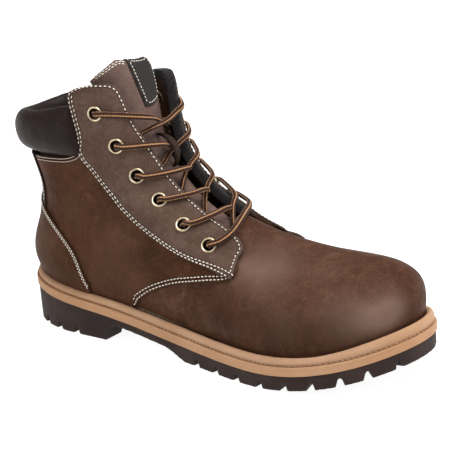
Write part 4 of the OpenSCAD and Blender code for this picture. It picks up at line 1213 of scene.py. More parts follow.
def line_tongue_back(tongue):
    """Gives the lining material to the faces behind the tongue's middle."""
    up, across = np.meshgrid(np.linspace(0, 1, 80), np.linspace(0, 1, 50), indexing="ij")
    uv = tongue_uv(up, across).reshape(-1, 2)
    points, normals = offset(uv, TONGUE_MIDDLE), normal(uv)
    tree = KDTree(len(points))
    for i, point in enumerate(points):
        tree.insert(Vector(point), i)
    tree.balance()
    for face in tongue.data.polygons:
        centre = np.array(face.center) / MM
        i = tree.find(Vector(centre))[1]
        face.material_index = 1 if (centre - points[i]) @ normals[i] < -0.6 else 0


def build_tongue():
    front, back = tongue_sheets()
    verts = np.concatenate([front.reshape(-1, 3), back.reshape(-1, 3)])
    tongue = make_object("tongue", verts, slab_faces(*front.shape[:2]), TONGUE_BROWN, LINING,
                         body=None)
    inflate(tongue, voxel=2.6, limit=1.4)
    line_tongue_back(tongue)
    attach(tongue, "tongue")
    stand_in(tongue, "tongue_face", "tongue_foam", "tongue_lining", slot="brown_leather")
    return BVHTree.FromPolygons([Vector(v.co) / MM for v in tongue.data.vertices],
                                [list(face.vertices) for face in tongue.data.polygons])


TONGUE_TREE = build_tongue()


def on_tongue(uv, back=False):
    """Points and normals on the front of the padded tongue, or on its back."""
    sign = -1 if back else 1
    ray_start, fallback = 6.0, TONGUE_OUT
    if back:
        ray_start, fallback = -28.0, TONGUE_OUT - TONGUE_THICKNESS
    points, normals = [], []
    for place in uv:
        out = sign * normal(place)
        hit = TONGUE_TREE.ray_cast(Vector(offset(place, ray_start)), Vector(-out), 60)
        if hit[0] is None:              # past the tongue's edge: take the nearest point
            near = TONGUE_TREE.find_nearest(Vector(offset(place, fallback)))
            points.append(np.array(near[0]))
            normals.append(out)
        else:
            points.append(np.array(hit[0]))
            normals.append(np.array(hit[1]))
    normals = unit(np.array(normals))
    return np.array(points), unit(np.array([mean_of_five(axis) for axis in normals.T]).T)


def stitch_tongue():
    """Two rows below the top edge, broken at the tab."""
    for gap in (4.3, 7.0):
        for start, end in ((0.06, 0.415), (0.66, 0.94)):
            uv = tongue_uv(1 - gap / TONGUE_LENGTH, np.linspace(start, end, 60))
            add_row(*on_tongue(uv), pitch=2.6, length=1.85, radius=0.34,
                    name="stitching_tongue")


stitch_tongue()


def build_strip(name, points, normals, low, high, material):
    """A band with rounded sides over rows of points, riding on the tongue."""
    n, m = points.shape[:2]
    edge = np.minimum(np.arange(m), m - 1 - np.arange(m)) / (m - 1)
    rounding = np.sqrt(np.clip(1 - (1 - np.clip(edge / 0.09, 0, 1)) ** 2, 0, 1))
    end = np.minimum(np.arange(n), n - 1 - np.arange(n))
    rounding = rounding[None, :] * np.where(end == 0, 0.35, 1.0)[:, None]
    height = low + (high - low) * (0.45 + 0.55 * rounding)
    top, bottom = points + normals * height[..., None], points + normals * low
    verts = np.concatenate([top.reshape(-1, 3), bottom.reshape(-1, 3)])
    return make_object(name, verts, slab_faces(n, m), material, body="tongue")


# ------------------------------------------------------------------ woven tab
# The tab runs up the front of the tongue, over its top and a little way down the back.
TAB_COLUMNS = 15
TAB_START, TAB_END = 0.42, 0.60         # shares across the tongue
TAB_FOOT, TAB_BEND, TAB_BACK = 0.65, 0.965, 0.9     # shares up the tongue
TAB_OUT = 1.15


def tab_surface():
    share = np.linspace(0, 1, TAB_COLUMNS)
    across = TAB_START + (TAB_END - TAB_START) * share
    lean = 0.11 + 0.365 * share
    rows = [on_tongue(tongue_uv(up, across + lean * (TAB_BEND - up)))
            for up in np.linspace(TAB_FOOT, TAB_BEND, 46)]
    bend_uv = tongue_uv(TAB_BEND, across)
    centres = offset(bend_uv, TONGUE_MIDDLE)
    upwards = unit(offset(tongue_uv(1.0, across), TONGUE_MIDDLE) - centres)
    outwards = normal(bend_uv)
    for angle in np.linspace(0, np.pi, 17)[1:-1]:
        points = []
        directions = unit(np.cos(angle) * outwards + np.sin(angle) * upwards)
        for centre, direction in zip(centres, directions):
            hit = TONGUE_TREE.ray_cast(Vector(centre + 30 * direction), Vector(-direction), 60)
            # a ray that misses the tongue falls back to a fixed radius
            points.append(centre + 4 * direction if hit[0] is None else np.array(hit[0]))
        rows.append((np.array(points), directions))
    rows += [on_tongue(tongue_uv(up, across), back=True)
             for up in np.linspace(TAB_BEND, TAB_BACK, 10)]
    points, normals = [np.array(part) for part in zip(*rows)]
    for _ in range(2):                  # relax the strip so that it lies fair
        points[1:-1] = 0.5 * points[1:-1] + 0.25 * (points[:-2] + points[2:])
    return points, unit(normals)


def stitch_tab(points, normals, row_start, row_end, start, end):
    """A row of stitches between two rows of the tab's grid and two shares of its width."""
    t = np.linspace(0, 1, 80)
    row = row_start + (row_end - row_start) * t
    column = (start + (end - start) * t) * (TAB_COLUMNS - 1)
    i = np.clip(np.floor(row).astype(int), 0, len(points) - 2)
    j = np.clip(np.floor(column).astype(int), 0, TAB_COLUMNS - 2)
    x, y = (row - i)[:, None], (column - j)[:, None]

    def sample(grid):
        return (grid[i, j] * (1 - x) * (1 - y) + grid[i + 1, j] * x * (1 - y)
                + grid[i, j + 1] * (1 - x) * y + grid[i + 1, j + 1] * x * y)

    up = unit(sample(normals))
    add_row(sample(points) + up * TAB_OUT, up, 2.4, 1.75, 0.3, "stitching_tab")


def build_tab():
    points, normals = tab_surface()
    tab = build_strip("tongue_tab", points, normals, 0.12, TAB_OUT, LABEL)
    stand_in(tab, "tongue_tab", slot="woven_label")
    for line in ((2.2, 45, 0.1, 0.1), (2.2, 45, 0.9, 0.9), (2.2, 2.2, 0.12, 0.88),
                 (45, 45, 0.1, 0.9), (53, 53, 0.1, 0.9), (45, 53, 0.1, 0.1),
                 (45, 53, 0.9, 0.9)):
        stitch_tab(points, normals, *line)


build_tab()


# ------------------------------------------------------------------ lace keeper
def build_keeper(rows=46, columns=9, centre_u=7.93, rise=9.4):
    """A leather strap on the tongue, arched between its two sewn ends."""
    v = np.linspace(7.38, 8.08, rows)
    share = np.clip((np.arange(rows) / (rows - 1) - 0.06) / 0.88, 0, 1)
    height = rise * np.sin(np.pi * share) ** 0.55
    lines = []
    for across in np.linspace(-3.6, 3.6, columns):
        uv = pairs(centre_u + across / 17.0, v)
        lines.append(on_tongue(uv)[0] + normal(uv) * height[:, None])
    points = np.array(lines).transpose(1, 0, 2)
    normals = unit(np.cross(unit(np.gradient(points, axis=1)),
                            unit(np.gradient(points, axis=0))))
    if normals[rows // 2, columns // 2] @ normal((centre_u, 7.7)) < 0:
        normals = -normals
    keeper = build_strip("lace_keeper", points, normals, 0.1, 1.7, KEEPER_BROWN)
    stand_in(keeper, "lace_keeper", slot="brown_leather")
    for i in (1, rows - 2):
        line = interp_rows(np.linspace(0.8, 7.2, 30), np.arange(columns),
                           points[i] + normals[i] * 1.55)
        up = np.repeat(normals[i, columns // 2][None], 30, 0)
        add_row(line, up, 2.2, 1.6, 0.28, "stitching_tongue")


build_keeper()

# ------------------------------------------------------------------ gussets
GUSSET_BACK = [[6.1, 5.35], [5.95, 6.2], [5.75, 7.0], [5.6, 7.6]]
GUSSET_FRONT = [[6.62, 5.3], [6.52, 6.2], [6.38, 7.0], [6.2, 7.6]]
for side in SIDES:
    gusset = Panel("tongue_gusset_" + side,
                   (on_side(GUSSET_BACK, side), on_side(GUSSET_FRONT, side)),
                   TONGUE_OUT + 0.2, TONGUE_OUT + 1.05, cell=1.6, rounding=0.4, wobble=0.1)
    stand_in(gusset.build(GUSSET_BROWN), "tongue_gusset_" + side, slot="brown_leather")

# ------------------------------------------------------------------ lace
LACE_RADIUS = 1.6
LACE_SIDES = 28
UNDER, OVER = -6.75, 6.1        # distances of the cord behind and in front of the flaps
# Distances where a strand crosses the toe line: freely, and near the keeper.
HIGH, LOW, HIGH_KEEPER, LOW_KEEPER = 1.6, -3.1, -3.9, -7.3


def strand(start, end, middle):
    """(u, v, distance) from behind one eyelet, across the tongue and in at the front of another."""
    way = 1 if end[0] > start[0] else -1
    reach = 0.8 if start[1] < 6.9 else 1
    edge_u, far_u = 8 - way * reach, 8 + way * reach
    slope = (end[1] - start[1]) / (end[0] - start[0])
    edge_v = start[1] + slope * (edge_u - start[0])
    cross_v = start[1] + slope * (far_u - start[0])
    far_v = (cross_v + end[1]) / 2 if way > 0 else cross_v
    middle_v = (edge_v + far_v) / 2
    if way < 0 and middle > 0:
        edge_v += 0.14                  # runs on upwards under the medial flap
    return [
        [start[0], start[1], UNDER + 1.2],
        [start[0] + way * .12, start[1], UNDER],
        [start[0] + way * .4, start[1] + (edge_v - start[1]) * .15, UNDER],
        [edge_u - way * .08, edge_v, UNDER],
        [edge_u + way * .34, (edge_v + middle_v) / 2, UNDER * .45 + middle * .55],
        [8, middle_v, middle],
        [far_u - way * .4, (far_v + middle_v) / 2, (OVER + middle) / 2],
        [far_u + way * .08, far_v, OVER],
        [end[0] - way * .3, end[1] - .02, OVER],
        [end[0] - way * .1, end[1], OVER - .4],
        [end[0], end[1], OVER - 2.2]]


def cord_points():
    """The whole cord from its lateral end to its medial end."""
    lateral, medial = EYELETS["lateral"], EYELETS["medial"]
    points = [[4.35, 6.3, UNDER - .5], [4.4, 6.9, UNDER - .5], [4.6, 7.6, UNDER - .4],
              [4.9, 8.2, UNDER - .2], [5.15, 8.58, UNDER], [5.33, 8.7, UNDER],
              [5.43, 8.74, UNDER + 1.2]]
    for start, end, middle in (
            (medial[1], lateral[0], LOW), (lateral[2], medial[1], LOW_KEEPER),
            (medial[3], lateral[2], HIGH), (lateral[4], medial[3], LOW),
            (medial[5], lateral[4], HIGH)):
        points += strand(start, end, middle)[::-1]
    # the bar across the lowest pair of eyelets
    points += [[10.4, 6.03, OVER - 2.2], [10.3, 6.03, OVER - .4], [9.5, 6.01, OVER],
               [8.95, 5.94, OVER], [8.4, 5.82, OVER - 1.2], [8, 5.73, OVER - 1.6],
               [7.6, 5.65, OVER - 1.2], [7.0, 5.53, OVER], [6.5, 5.42, OVER],
               [6.22, 5.38, OVER - .4], [6.12, 5.36, OVER - 2.2]]
    for start, end, middle in (
            (lateral[5], medial[4], LOW), (medial[4], lateral[3], HIGH),
            (lateral[3], medial[2], LOW), (medial[2], lateral[1], HIGH_KEEPER),
            (lateral[1], medial[0], HIGH)):
        points += strand(start, end, middle)
    points += [[10.67, 8.5, UNDER + 1.2], [10.77, 8.48, UNDER], [10.93, 8.4, UNDER],
               [11.1, 8.2, UNDER - .2], [11.4, 7.6, UNDER - .4], [11.6, 6.9, UNDER - .5],
               [11.65, 6.3, UNDER - .5]]
    return np.array(points)


def cord_centreline(cord, step=0.62):
    """Even steps along the cord: centres, skin normals, flattening over rims, run."""
    points, normals = offset(cord[:, :2], cord[:, 2]), normal(cord[:, :2])
    flat = np.where(cord[:, 2] > 3.4, 1.0, 0.0)[:, None]
    last = len(points) - 1
    places = []
    for i in range(last):
        parts = max(int(np.linalg.norm(points[i + 1] - points[i]) / 0.35), 2)
        places += [i + k / parts for k in range(parts)]
    places = np.array(places + [last])
    fine = curve_at(points, places)
    run = run_length(fine)
    along = np.linspace(0, run[-1], int(run[-1] / step) + 1)
    centres = interp_rows(along, run, fine)
    normals, flat = [interp_rows(along, run, interp_rows(places, np.arange(last + 1), rows))
                     for rows in (normals, flat)]
    for _ in range(3):
        centres[1:-1] = 0.5 * centres[1:-1] + 0.25 * (centres[:-2] + centres[2:])
    flat = flat[:, 0]
    for _ in range(6):
        flat = mean_of_five(flat)
    return centres, unit(normals), flat[:, None], along


def carried_normals(tangents, normals):
    """One frame carried along the cord, eased towards the skin's normal without spinning."""
    carried = [unit(normals[0] - (normals[0] @ tangents[0]) * tangents[0])]
    for tangent, target in zip(tangents[1:], normals[1:]):
        kept = carried[-1] - (carried[-1] @ tangent) * tangent
        wanted = target - (target @ tangent) * tangent
        pull = 0.25 * np.clip(np.linalg.norm(wanted) - 0.35, 0, 1)
        if wanted @ kept < 0:
            pull = 0
        carried.append(unit(unit(kept) * (1 - pull) + wanted * pull))
    return np.array(carried)


def add_lace_uv(lace, along):
    layer = lace.data.uv_layers.new(name="UVMap")
    index = np.array([loop.vertex_index for loop in lace.data.loops])
    length, turn = along[index // LACE_SIDES], (index % LACE_SIDES) / LACE_SIDES
    for face in lace.data.polygons:
        loops = list(face.loop_indices)
        if len(loops) == 4 and np.ptp(turn[loops]) > 0.5:       # a face across the join
            for i in loops:
                if turn[i] < 0.5:
                    turn[i] += 1
    layer.data.foreach_set("uv", np.stack([length, turn], 1).astype(np.float32).ravel())


def build_lace(cord):
    centres, normals, flat, along = cord_centreline(cord)
    tangents = unit(np.gradient(centres, axis=0))
    up = carried_normals(tangents, normals)
    across = unit(np.cross(tangents, up))
    length = along[:, None] * 0.95
    turn = circle(LACE_SIDES)[None, :] / (2 * np.pi)
    braid = (np.cos(2 * np.pi * (length / 3.1 + turn * 4))
             * np.cos(2 * np.pi * (length / 3.1 - turn * 4)))
    ripple = np.cos(2 * np.pi * (length / 1.55 + np.round(turn * 8) * 0.5))
    relief = 0.085 * ripple + 0.10 * braid
    verts = oval_rings(centres, across, up, LACE_RADIUS * (1 + 0.28 * flat) + relief,
                       LACE_RADIUS * (1 - 0.14 * flat) + relief, LACE_SIDES)
    faces = tube_faces(len(centres), LACE_SIDES) + end_caps(len(centres), LACE_SIDES)
    lace = make_object("lace", verts, faces, LACE)
    add_lace_uv(lace, along)
    stand_in(lace, "lace", slot="lace_cord")


# Radius of an aglet, ring by ring from the cord to the tip.
AGLET_RADII = np.array([1.2, 1.28, 1.3, 1.3, 1.29, 1.28, 1.27, 1.26, 1.25, 1.2, 0.95, 0.4])
AGLET_SIDES = 20


def build_aglets(cord):
    rings, radii = len(AGLET_RADII), AGLET_RADII[:, None]
    parts = []
    for u, v, distance in (cord[0], cord[-1]):
        uv = pairs(u, v + np.linspace(0.0, -1.14, rings))
        centres = offset(uv, distance)
        tangents = unit(np.gradient(centres, axis=0))
        across = unit(np.cross(tangents, normal(uv)))
        up = unit(np.cross(across, tangents))
        parts.append((oval_rings(centres, across, up, radii, radii, AGLET_SIDES),
                      tube_faces(rings, AGLET_SIDES) + end_caps(rings, AGLET_SIDES)))
    stand_in(make_object("aglets", *merge(parts), AGLET), "aglets", slot="aglet_plastic")


CORD = cord_points()
build_lace(CORD)
build_aglets(CORD)

# ------------------------------------------------------------------ sole
# Thickness of the outsole: x, thickness, slope.
WEDGE = [[-160, 26.1, -0.085], [-70, 17.6, -0.105], [-10, 11.2, -0.06], [45, 9.6, 0],
         [170, 9.6, 0]]
SOLE_EDGE = 6.8                 # how far the sole stands out from the skin's foot
# Closed sections: distance outwards, height above the outsole, groove (painted shade in the groove
# and under the bead: 0 light, 1 dark).
MIDSOLE_SECTION = np.array([
    (-30, 5.95, 0.8), (-12, 6.0, 0.8), (2.0, 6.0, 0.8), (5.6, 6.0, 0.8), (6.25, 5.93, 0.12),
    (6.62, 5.72, 0), (6.8, 5.4, 0), (6.84, 4.9, 0), (6.78, 4.4, 0), (6.83, 3.9, 0),
    (6.77, 3.4, 0), (6.82, 2.9, 0), (6.76, 2.4, 0), (6.82, 1.9, 0), (6.77, 1.4, 0),
    (6.8, 0.95, 0), (6.72, 0.5, 0), (6.45, 0.16, 0), (6.0, 0.06, 0), (2.0, 0.05, 0),
    (-12, 0.05, 0), (-30, 0.1, 0)])
# The welt is a ledge with a rounded bead that stands against the upper.
WELT_SECTION = np.array([
    (-2.6, 6.05, 0), (1.0, 6.05, 0), (4.7, 6.08, 0.8), (5.0, 6.2, 0.8), (5.12, 6.45, 0.8),
    (5.1, 6.75, 0.8), (5.14, 7.02, 0.35), (5.3, 7.3, 0.05), (5.42, 7.8, 0), (5.46, 8.4, 0),
    (5.4, 9.1, 0), (5.15, 9.75, 0), (4.9, 10.4, 0), (4.55, 11.0, 0), (4.1, 11.55, 0),
    (3.6, 11.95, 0), (3.1, 12.2, 0), (2.6, 12.3, 0), (2.05, 12.2, 0.15), (1.3, 11.95, 0.5),
    (0.6, 11.5, 0.9), (0.2, 10.6, 0), (0.1, 9.6, 0), (-2.6, 9.6, 0)])


def ground(x):
    """Height of the tread: flat at the heel, rising towards the toe."""
    return 18 * (np.maximum(0, np.asarray(x, float) - 55) / 100) ** 2


def wedge(x):
    x = np.asarray(x, float)
    out = np.zeros_like(x)
    for k, (start, end) in enumerate(zip(WEDGE, WEDGE[1:])):
        span = end[0] - start[0]
        t = (x - start[0]) / span
        value = ((1 + 2*t) * (1 - t)**2 * start[1] + t * (1 - t)**2 * span * start[2]
                 + t*t * (3 - 2*t) * end[1] + t*t * (t - 1) * span * end[2])
        low = -1e9 if k == 0 else start[0]
        high = 1e9 if k == len(WEDGE) - 2 else end[0]
        out = np.where((x >= low) & (x < high), value, out)
    return out


def outsole_top(x):
    return ground(x) + wedge(x)


def rim(u, distance):
    """Outline of the skin's foot moved out level, and its outward directions: (x, y) rows."""
    uv = pairs(u, 0)
    out = unit(normal(uv)[..., :2])
    return skin(uv)[..., :2] + distance * out, out


def even_u(count, distance):
    u = np.linspace(0, 16, 4001)
    run = run_length(rim(u, distance)[0])
    return np.interp(np.linspace(0, run[-1], count + 1)[:-1], run, u)


def build_sole_ring(name, section, material, wobble, lift=None, count=640):
    """Sweeps a section round the sole; lift raises its upper part by a function of x."""
    u = even_u(count, SOLE_EDGE)
    verts = np.zeros((count, len(section), 3))
    for k, (distance, height, _) in enumerate(section):
        outline = rim(u, distance)[0]
        verts[:, k, :2] = outline
        verts[:, k, 2] = outsole_top(outline[:, 0]) + height
        if lift:
            verts[:, k, 2] += lift(outline[:, 0]) * min(max((height - 7.2) / 5, 0), 1)
    verts += wobble * noise_at(verts, 0.11, 3.0)[..., None]
    faces = flipped(tube_faces(count, len(section), closed=True))
    obj = make_object(name, verts.reshape(-1, 3), faces, material)
    set_attribute(obj, "h_mm", np.tile(section[:, 1], count))
    set_attribute(obj, "groove", np.tile(section[:, 2], count))
    stand_in(obj, name, slot="tan_midsole")


def welt_lift(x):
    return -1.6 + 3.0 * smoothstep(100, 150, x)


def welt_row():
    """Stitches in the groove below the bead, from the waist round the toe."""
    outline, out = rim(np.linspace(3.3, 12.7, 1500), 5.3)
    points = np.column_stack([outline, outsole_top(outline[:, 0]) + 6.5])
    normals = unit(np.column_stack([out, np.full(len(out), 0.9)]))
    add_row(points, normals, 3.4, 2.1, 0.36, "welt_stitching", WELT_THREAD)


build_sole_ring("midsole", MIDSOLE_SECTION, MIDSOLE_TAN, wobble=0.06)
build_sole_ring("welt", WELT_SECTION, WELT_TAN, wobble=0.07, lift=welt_lift)
welt_row()

# ------------------------------------------------------------------ outsole
GROOVE_WIDTH, LUG_HEIGHT = 3.4, 5.0
# Places (u) of the grooves cut in from the edge, on both sides.
FOREFOOT_GROOVES = [4.42, 4.75, 5.11, 5.49, 5.87, 6.26, 6.66, 7.04, 7.5]
HEEL_GROOVES = [0.42, 1.0, 1.5, 1.9, 2.28]
# Half of a groove's section: distance from its middle, height.
GROOVE_HALF = [
    (GROOVE_WIDTH / 2 - 1.1, LUG_HEIGHT), (GROOVE_WIDTH / 2 - .5, LUG_HEIGHT * .92),
    (GROOVE_WIDTH / 2 + .2, LUG_HEIGHT * .55), (GROOVE_WIDTH / 2 + 1.0, -.01),
    (GROOVE_WIDTH / 2 + 1.3, -30)]
GROOVE_SECTION = [(-y, z) for y, z in GROOVE_HALF[::-1]] + GROOVE_HALF


def raw_object(name, verts, faces):
    mesh = bpy.data.meshes.new(name)
    mesh.from_pydata([tuple(np.array(v) * MM) for v in verts], [], faces)
    bm = bmesh.new()
    bm.from_mesh(mesh)
    bmesh.ops.remove_doubles(bm, verts=bm.verts, dist=1e-6)
    bmesh.ops.recalc_face_normals(bm, faces=bm.faces)
    bm.to_mesh(mesh)
    bm.free()
    return link(name, mesh)


def sole_slab(name, distance, low, high, count):
    """A solid inside the outline moved out, between two heights that are functions of x."""
    u = np.linspace(0, 8, 2001)
    run = run_length(rim(u, distance)[0])
    u = np.interp(np.linspace(0, run[-1], count + 1), run, u)
    lateral, medial = rim(u, distance)[0], rim(16 - u, distance)[0]
    verts, faces = [], []
    for i in range(count + 1):
        for height in (low, high):
            verts += [(x, y, float(height(x))) for x, y in (lateral[i], medial[i])]
    for i in range(count):
        a, b = 4 * i, 4 * i + 4
        faces += [[a, a + 1, b + 1, b], [a + 2, b + 2, b + 3, a + 3],
                  [a, b, b + 2, a + 2], [a + 1, a + 3, b + 3, b + 1]]
    last = 4 * count
    faces += [[0, 2, 3, 1], [last, last + 1, last + 3, last + 2]]
    return raw_object(name, verts, faces)


def groove_cutter(u, reach):
    outline, out = rim(np.array([u]), SOLE_EDGE)
    x, y = outline[0]
    place = (Matrix.Translation((x, y, float(ground(x))))
             @ Matrix.Rotation(math.atan2(out[0, 1], out[0, 0]), 4, "Z"))
    verts = [tuple(place @ Vector((end, side, z)))
             for end in (-reach, 5) for side, z in GROOVE_SECTION]
    count = len(GROOVE_SECTION)
    return raw_object("cutter", verts, end_caps(2, count) + tube_faces(2, count))


def waist_cutter():
    """Cuts the arch between heel and forefoot, right across the sole."""
    below = [(-66, -8.5), (-61, -5.2), (-50, -5.0), (-35, -5.2), (-16, -5.4)]
    profile = ([(-70, -4)] + [(x, float(wedge(x)) + drop) for x, drop in below]
               + [(-9, 4.2), (-4, 2.0), (1, 0.2), (3, -0.5), (3, -4)])
    verts = [(x, y, z) for y in (-95, 95) for x, z in profile]
    count = len(profile)
    caps = [cap[::-1] for cap in end_caps(2, count)]
    return raw_object("cutter", verts, caps + flipped(tube_faces(2, count)))


def combine(obj, tools, operation):
    for tool in tools:
        boolean = obj.modifiers.new("cut", "BOOLEAN")
        boolean.operation, boolean.object, boolean.solver = operation, tool, "EXACT"
        bake(obj)
        mesh = tool.data
        bpy.data.objects.remove(tool)
        bpy.data.meshes.remove(mesh)


def lug(x, y, angle, width, length, notched=False, top=None):
    """A block on the tread, as a plain rectangle or with notched sides; angle in degrees."""
    w, l = width, length
    if notched:
        outline = [(-l/2, -w/2), (0, -w/5), (l/2, -w/2), (l/3, 0), (l/2, w/2), (0, w/5),
                   (-l/2, w/2), (-l/3, 0)]
    else:
        outline = [(-l/2, -w/2), (l/2, -w/2), (l/2, w/2), (-l/2, w/2)]
    cos, sin = math.cos(math.radians(angle)), math.sin(math.radians(angle))
    placed = [(x + a * cos - b * sin, y + a * sin + b * cos) for a, b in outline]
    verts = [(a, b, float(ground(a))) for a, b in placed]
    verts += [(a, b, float(ground(a)) + LUG_HEIGHT + 0.6 if top is None else top)
              for a, b in placed]
    count = len(outline)
    return raw_object("lug", verts, end_caps(2, count) + tube_faces(2, count))


def tread_lugs():
    lugs = [lug(x, 0, 0, 17, 19, notched=True) for x in (22, 50, 78, 106)]
    lugs += [lug(x, sign * 17, sign * 24, 7, 15) for x in (36, 64, 92) for sign in (-1, 1)]
    lugs += [lug(0, 0, 0, 20, 14, top=6.5), lug(120, 0, 90, 7, 19)]
    lugs += [lug(x, 0, 0, 15, 15, notched=x != -104) for x in (-128, -104, -84)]
    return lugs


def roughen_outsole(outsole):
    """Fine unevenness, strongest on the side walls; nothing goes below the floor."""
    points = np.empty(len(outsole.data.vertices) * 3, np.float32)
    outsole.data.vertices.foreach_get("co", points)
    points = points.reshape(-1, 3) / MM
    normals = np.array([v.normal for v in outsole.data.vertices])
    side = np.clip(1 - np.abs(normals[:, 2]) * 1.5, 0, 1)
    relief = side * 0.10 * noise_at(points, 0.35, 2.0) + 0.03 * noise_at(points, 1.3, 9.0)
    points += normals * relief[:, None]
    points[points[:, 2] < 0.0, 2] = 0.0
    outsole.data.vertices.foreach_set("co", (points * MM).astype(np.float32).ravel())


def build_outsole():
    outsole = sole_slab("outsole_look", SOLE_EDGE - 0.85, ground,
                        lambda x: outsole_top(x) - 0.02, 150)
    cutters = [groove_cutter(place, reach)
               for grooves, reach in ((FOREFOOT_GROOVES, 17), (HEEL_GROOVES, 16))
               for u in grooves for place in (u, 16 - u)]
    cutters.append(waist_cutter())
    cutters.append(sole_slab("cutter", -9.5, lambda x: -6.0,
                             lambda x: float(ground(x)) + LUG_HEIGHT, 90))
    combine(outsole, cutters, "DIFFERENCE")
    combine(outsole, tread_lugs(), "UNION")
    voxel_remesh(outsole, 0.85)
    add_smooth(outsole, iterations=2)
    bake(outsole)
    roughen_outsole(outsole)
    outsole.data.materials.clear()
    outsole.data.materials.append(RUBBER)
    smooth_shade(outsole.data)
    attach(outsole, "boot")
    stand_in(outsole, "outsole", slot="rubber")


build_outsole()

# ------------------------------------------------------------------ footbed
# Edge of the footbed: distance outwards, height above the outsole.
FOOTBED_EDGE = [(-8.6, 10.9), (-8.5, 11.6), (-8.5, 13.4), (-8.6, 14.6), (-9.2, 15.25),
                (-10.5, 15.45)]


def build_footbed(count=320):
    u = even_u(count, 0)

    def ring(distance, height, width=1.0):
        x, y = rim(u, distance)[0].T
        return np.stack([x, y * width, outsole_top(x) + height], 1)

    rings = [ring(*FOOTBED_EDGE[0], width=0.5)]
    rings += [ring(*place) for place in FOOTBED_EDGE]
    distance, height = FOOTBED_EDGE[-1]
    for t in (0.15, 0.35, 0.6, 0.85):           # the dished top, closing on the middle line
        rings.append(ring(distance, height - 0.9 * math.sin(t * math.pi / 2), width=1 - t))
    caps = [cap[::-1] for cap in end_caps(len(rings), count)]
    footbed = make_object("footbed", np.concatenate(rings),
                          tube_faces(len(rings), count) + caps, FOOTBED_FABRIC, body="footbed")
    stand_in(footbed, "footbed", slot="foam_footbed")


build_footbed()


# ------------------------------------------------------------------ stitches
def build_stitches():
    groups = {}
    for *shape, name, material in stitch_rows:
        groups.setdefault((name, material), []).append(stitch_mesh(*shape))
    for (name, material), parts in groups.items():
        body = "tongue" if name in ("stitching_tongue", "stitching_tab") else "boot"
        obj = make_object(name, *merge(parts), material, body=body)
        if name == "welt_stitching":
            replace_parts(obj, "welt_stitching")


build_stitches()

# ------------------------------------------------------------------ CAD pieces that stay
KEPT_PIECES = {
    "bottom_filler": CORK, "steel_shank": STEEL, "insole_board": BOARD, "vamp_lining": LINING,
    "steel_toe_cap": STEEL, "toe_cap_edge_pad": BLACK_LINING, "heel_stiffener": BOARD}
for name, material in KEPT_PIECES.items():
    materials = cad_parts[name].data.materials
    materials.clear()
    materials.append(material)


# ------------------------------------------------------------------ stage, light and camera
# From here on lengths are metres.
def floor_paper():
    mat = Shader("floor_paper")
    mat.colour = mat.mix(mat.noise(scale=6, rough=0.5), (0.34, 0.34, 0.34), (0.37, 0.37, 0.37))
    mat.bump(mat.noise(scale=300, detail=2, rough=0.5), depth=0.0002, strength=0.1)
    return mat.finish(0.9, Emission_Color=(1, 1, 1, 1), Emission_Strength=0.92,
                      Specular_IOR_Level=0.05)


def build_floor(half=9, height=-0.0004):
    material = floor_paper()
    mesh = bpy.data.meshes.new("floor")
    corners = ((-half, -half), (half, -half), (half, half), (-half, half))
    mesh.from_pydata([(x, y, height) for x, y in corners], [], [[0, 1, 2, 3]])
    mesh.materials.append(material)
    link("floor", mesh)


def build_world(light_strength=0.46, seen_strength=1.1):
    """White all round, brighter to the camera than to the boot."""
    world = bpy.data.worlds.new("studio")
    bpy.context.scene.world = world
    world.use_nodes = True
    nodes, links = world.node_tree.nodes, world.node_tree.links
    nodes.clear()
    output = nodes.new("ShaderNodeOutputWorld")
    path = nodes.new("ShaderNodeLightPath")
    mix = nodes.new("ShaderNodeMixShader")
    links.new(path.outputs["Is Camera Ray"], mix.inputs[0])
    for i, strength in enumerate((light_strength, seen_strength)):
        background = nodes.new("ShaderNodeBackground")
        background.inputs[0].default_value = (1, 1, 1, 1)
        background.inputs[1].default_value = strength
        links.new(background.outputs[0], mix.inputs[i + 1])
    links.new(mix.outputs[0], output.inputs[0])


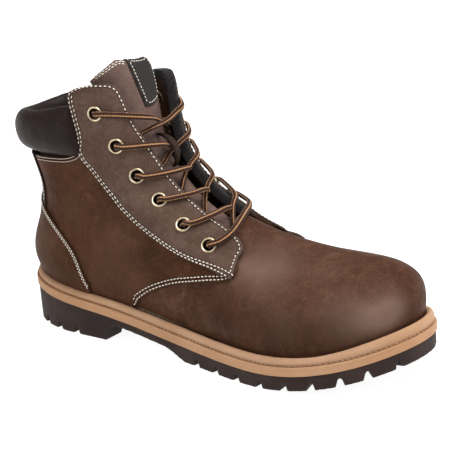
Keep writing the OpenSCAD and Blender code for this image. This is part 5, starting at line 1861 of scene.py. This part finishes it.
def add_area_light(name, place, target, size, power):
    light = bpy.data.lights.new(name, "AREA")
    light.shape = "RECTANGLE"
    light.size, light.size_y = size
    light.energy = power
    obj = link(name, light)
    obj.location = place
    obj.rotation_mode = "QUATERNION"
    aim = Vector(target) - Vector(place)
    obj.rotation_quaternion = aim.to_track_quat("-Z", "Y")


# The camera looks at TARGET from the lateral side, in front of the toe and above.
AZIMUTH, ELEVATION, ROLL = math.radians(39.482), math.radians(18.355), math.radians(-4.603)
CAMERA_DISTANCE = 1.167955
TARGET = Vector((0, 0, 0.080))
BACK = Vector((math.sin(AZIMUTH) * math.cos(ELEVATION),
               -math.cos(AZIMUTH) * math.cos(ELEVATION), math.sin(ELEVATION)))
RIGHT = Vector((math.cos(AZIMUTH), math.sin(AZIMUTH), 0))
UP = BACK.cross(RIGHT)


def build_lights():
    add_area_light("key", TARGET + BACK * 1.3 + UP * 1.7 + RIGHT * 0.9,
                   target=(0.05, 0, 0.05), size=(1.2, 1.2), power=42)
    add_area_light("fill", TARGET + BACK * 1.6 - RIGHT * 1.9 + UP * 0.7,
                   target=(0, 0, 0.08), size=(1.6, 1.6), power=20)
    add_area_light("top", (0.1, 0.3, 1.9), target=(0, 0, 0.05), size=(1.6, 1.2), power=22)
    add_area_light("front", TARGET + RIGHT * 2.1 + BACK * 0.6 + UP * 0.35,
                   target=(0.1, 0, 0.05), size=(1.0, 1.3), power=16)


def build_camera():
    camera = bpy.data.cameras.new("camera")
    obj = link("camera", camera)
    rolled_right = RIGHT * math.cos(ROLL) + UP * math.sin(ROLL)
    rolled_up = -RIGHT * math.sin(ROLL) + UP * math.cos(ROLL)
    placing = Matrix((rolled_right, rolled_up, BACK)).transposed().to_4x4()
    placing.translation = TARGET + BACK * CAMERA_DISTANCE
    obj.matrix_world = placing
    camera.sensor_width, camera.lens = 36, 145.34
    camera.shift_x, camera.shift_y = 0.01896468, -0.01254084
    camera.clip_start, camera.clip_end = 0.05, 50
    scene = bpy.context.scene
    scene.camera = obj
    scene.view_settings.view_transform = "Standard"
    scene.view_settings.look = "None"


build_floor()
build_world()
build_lights()
build_camera()
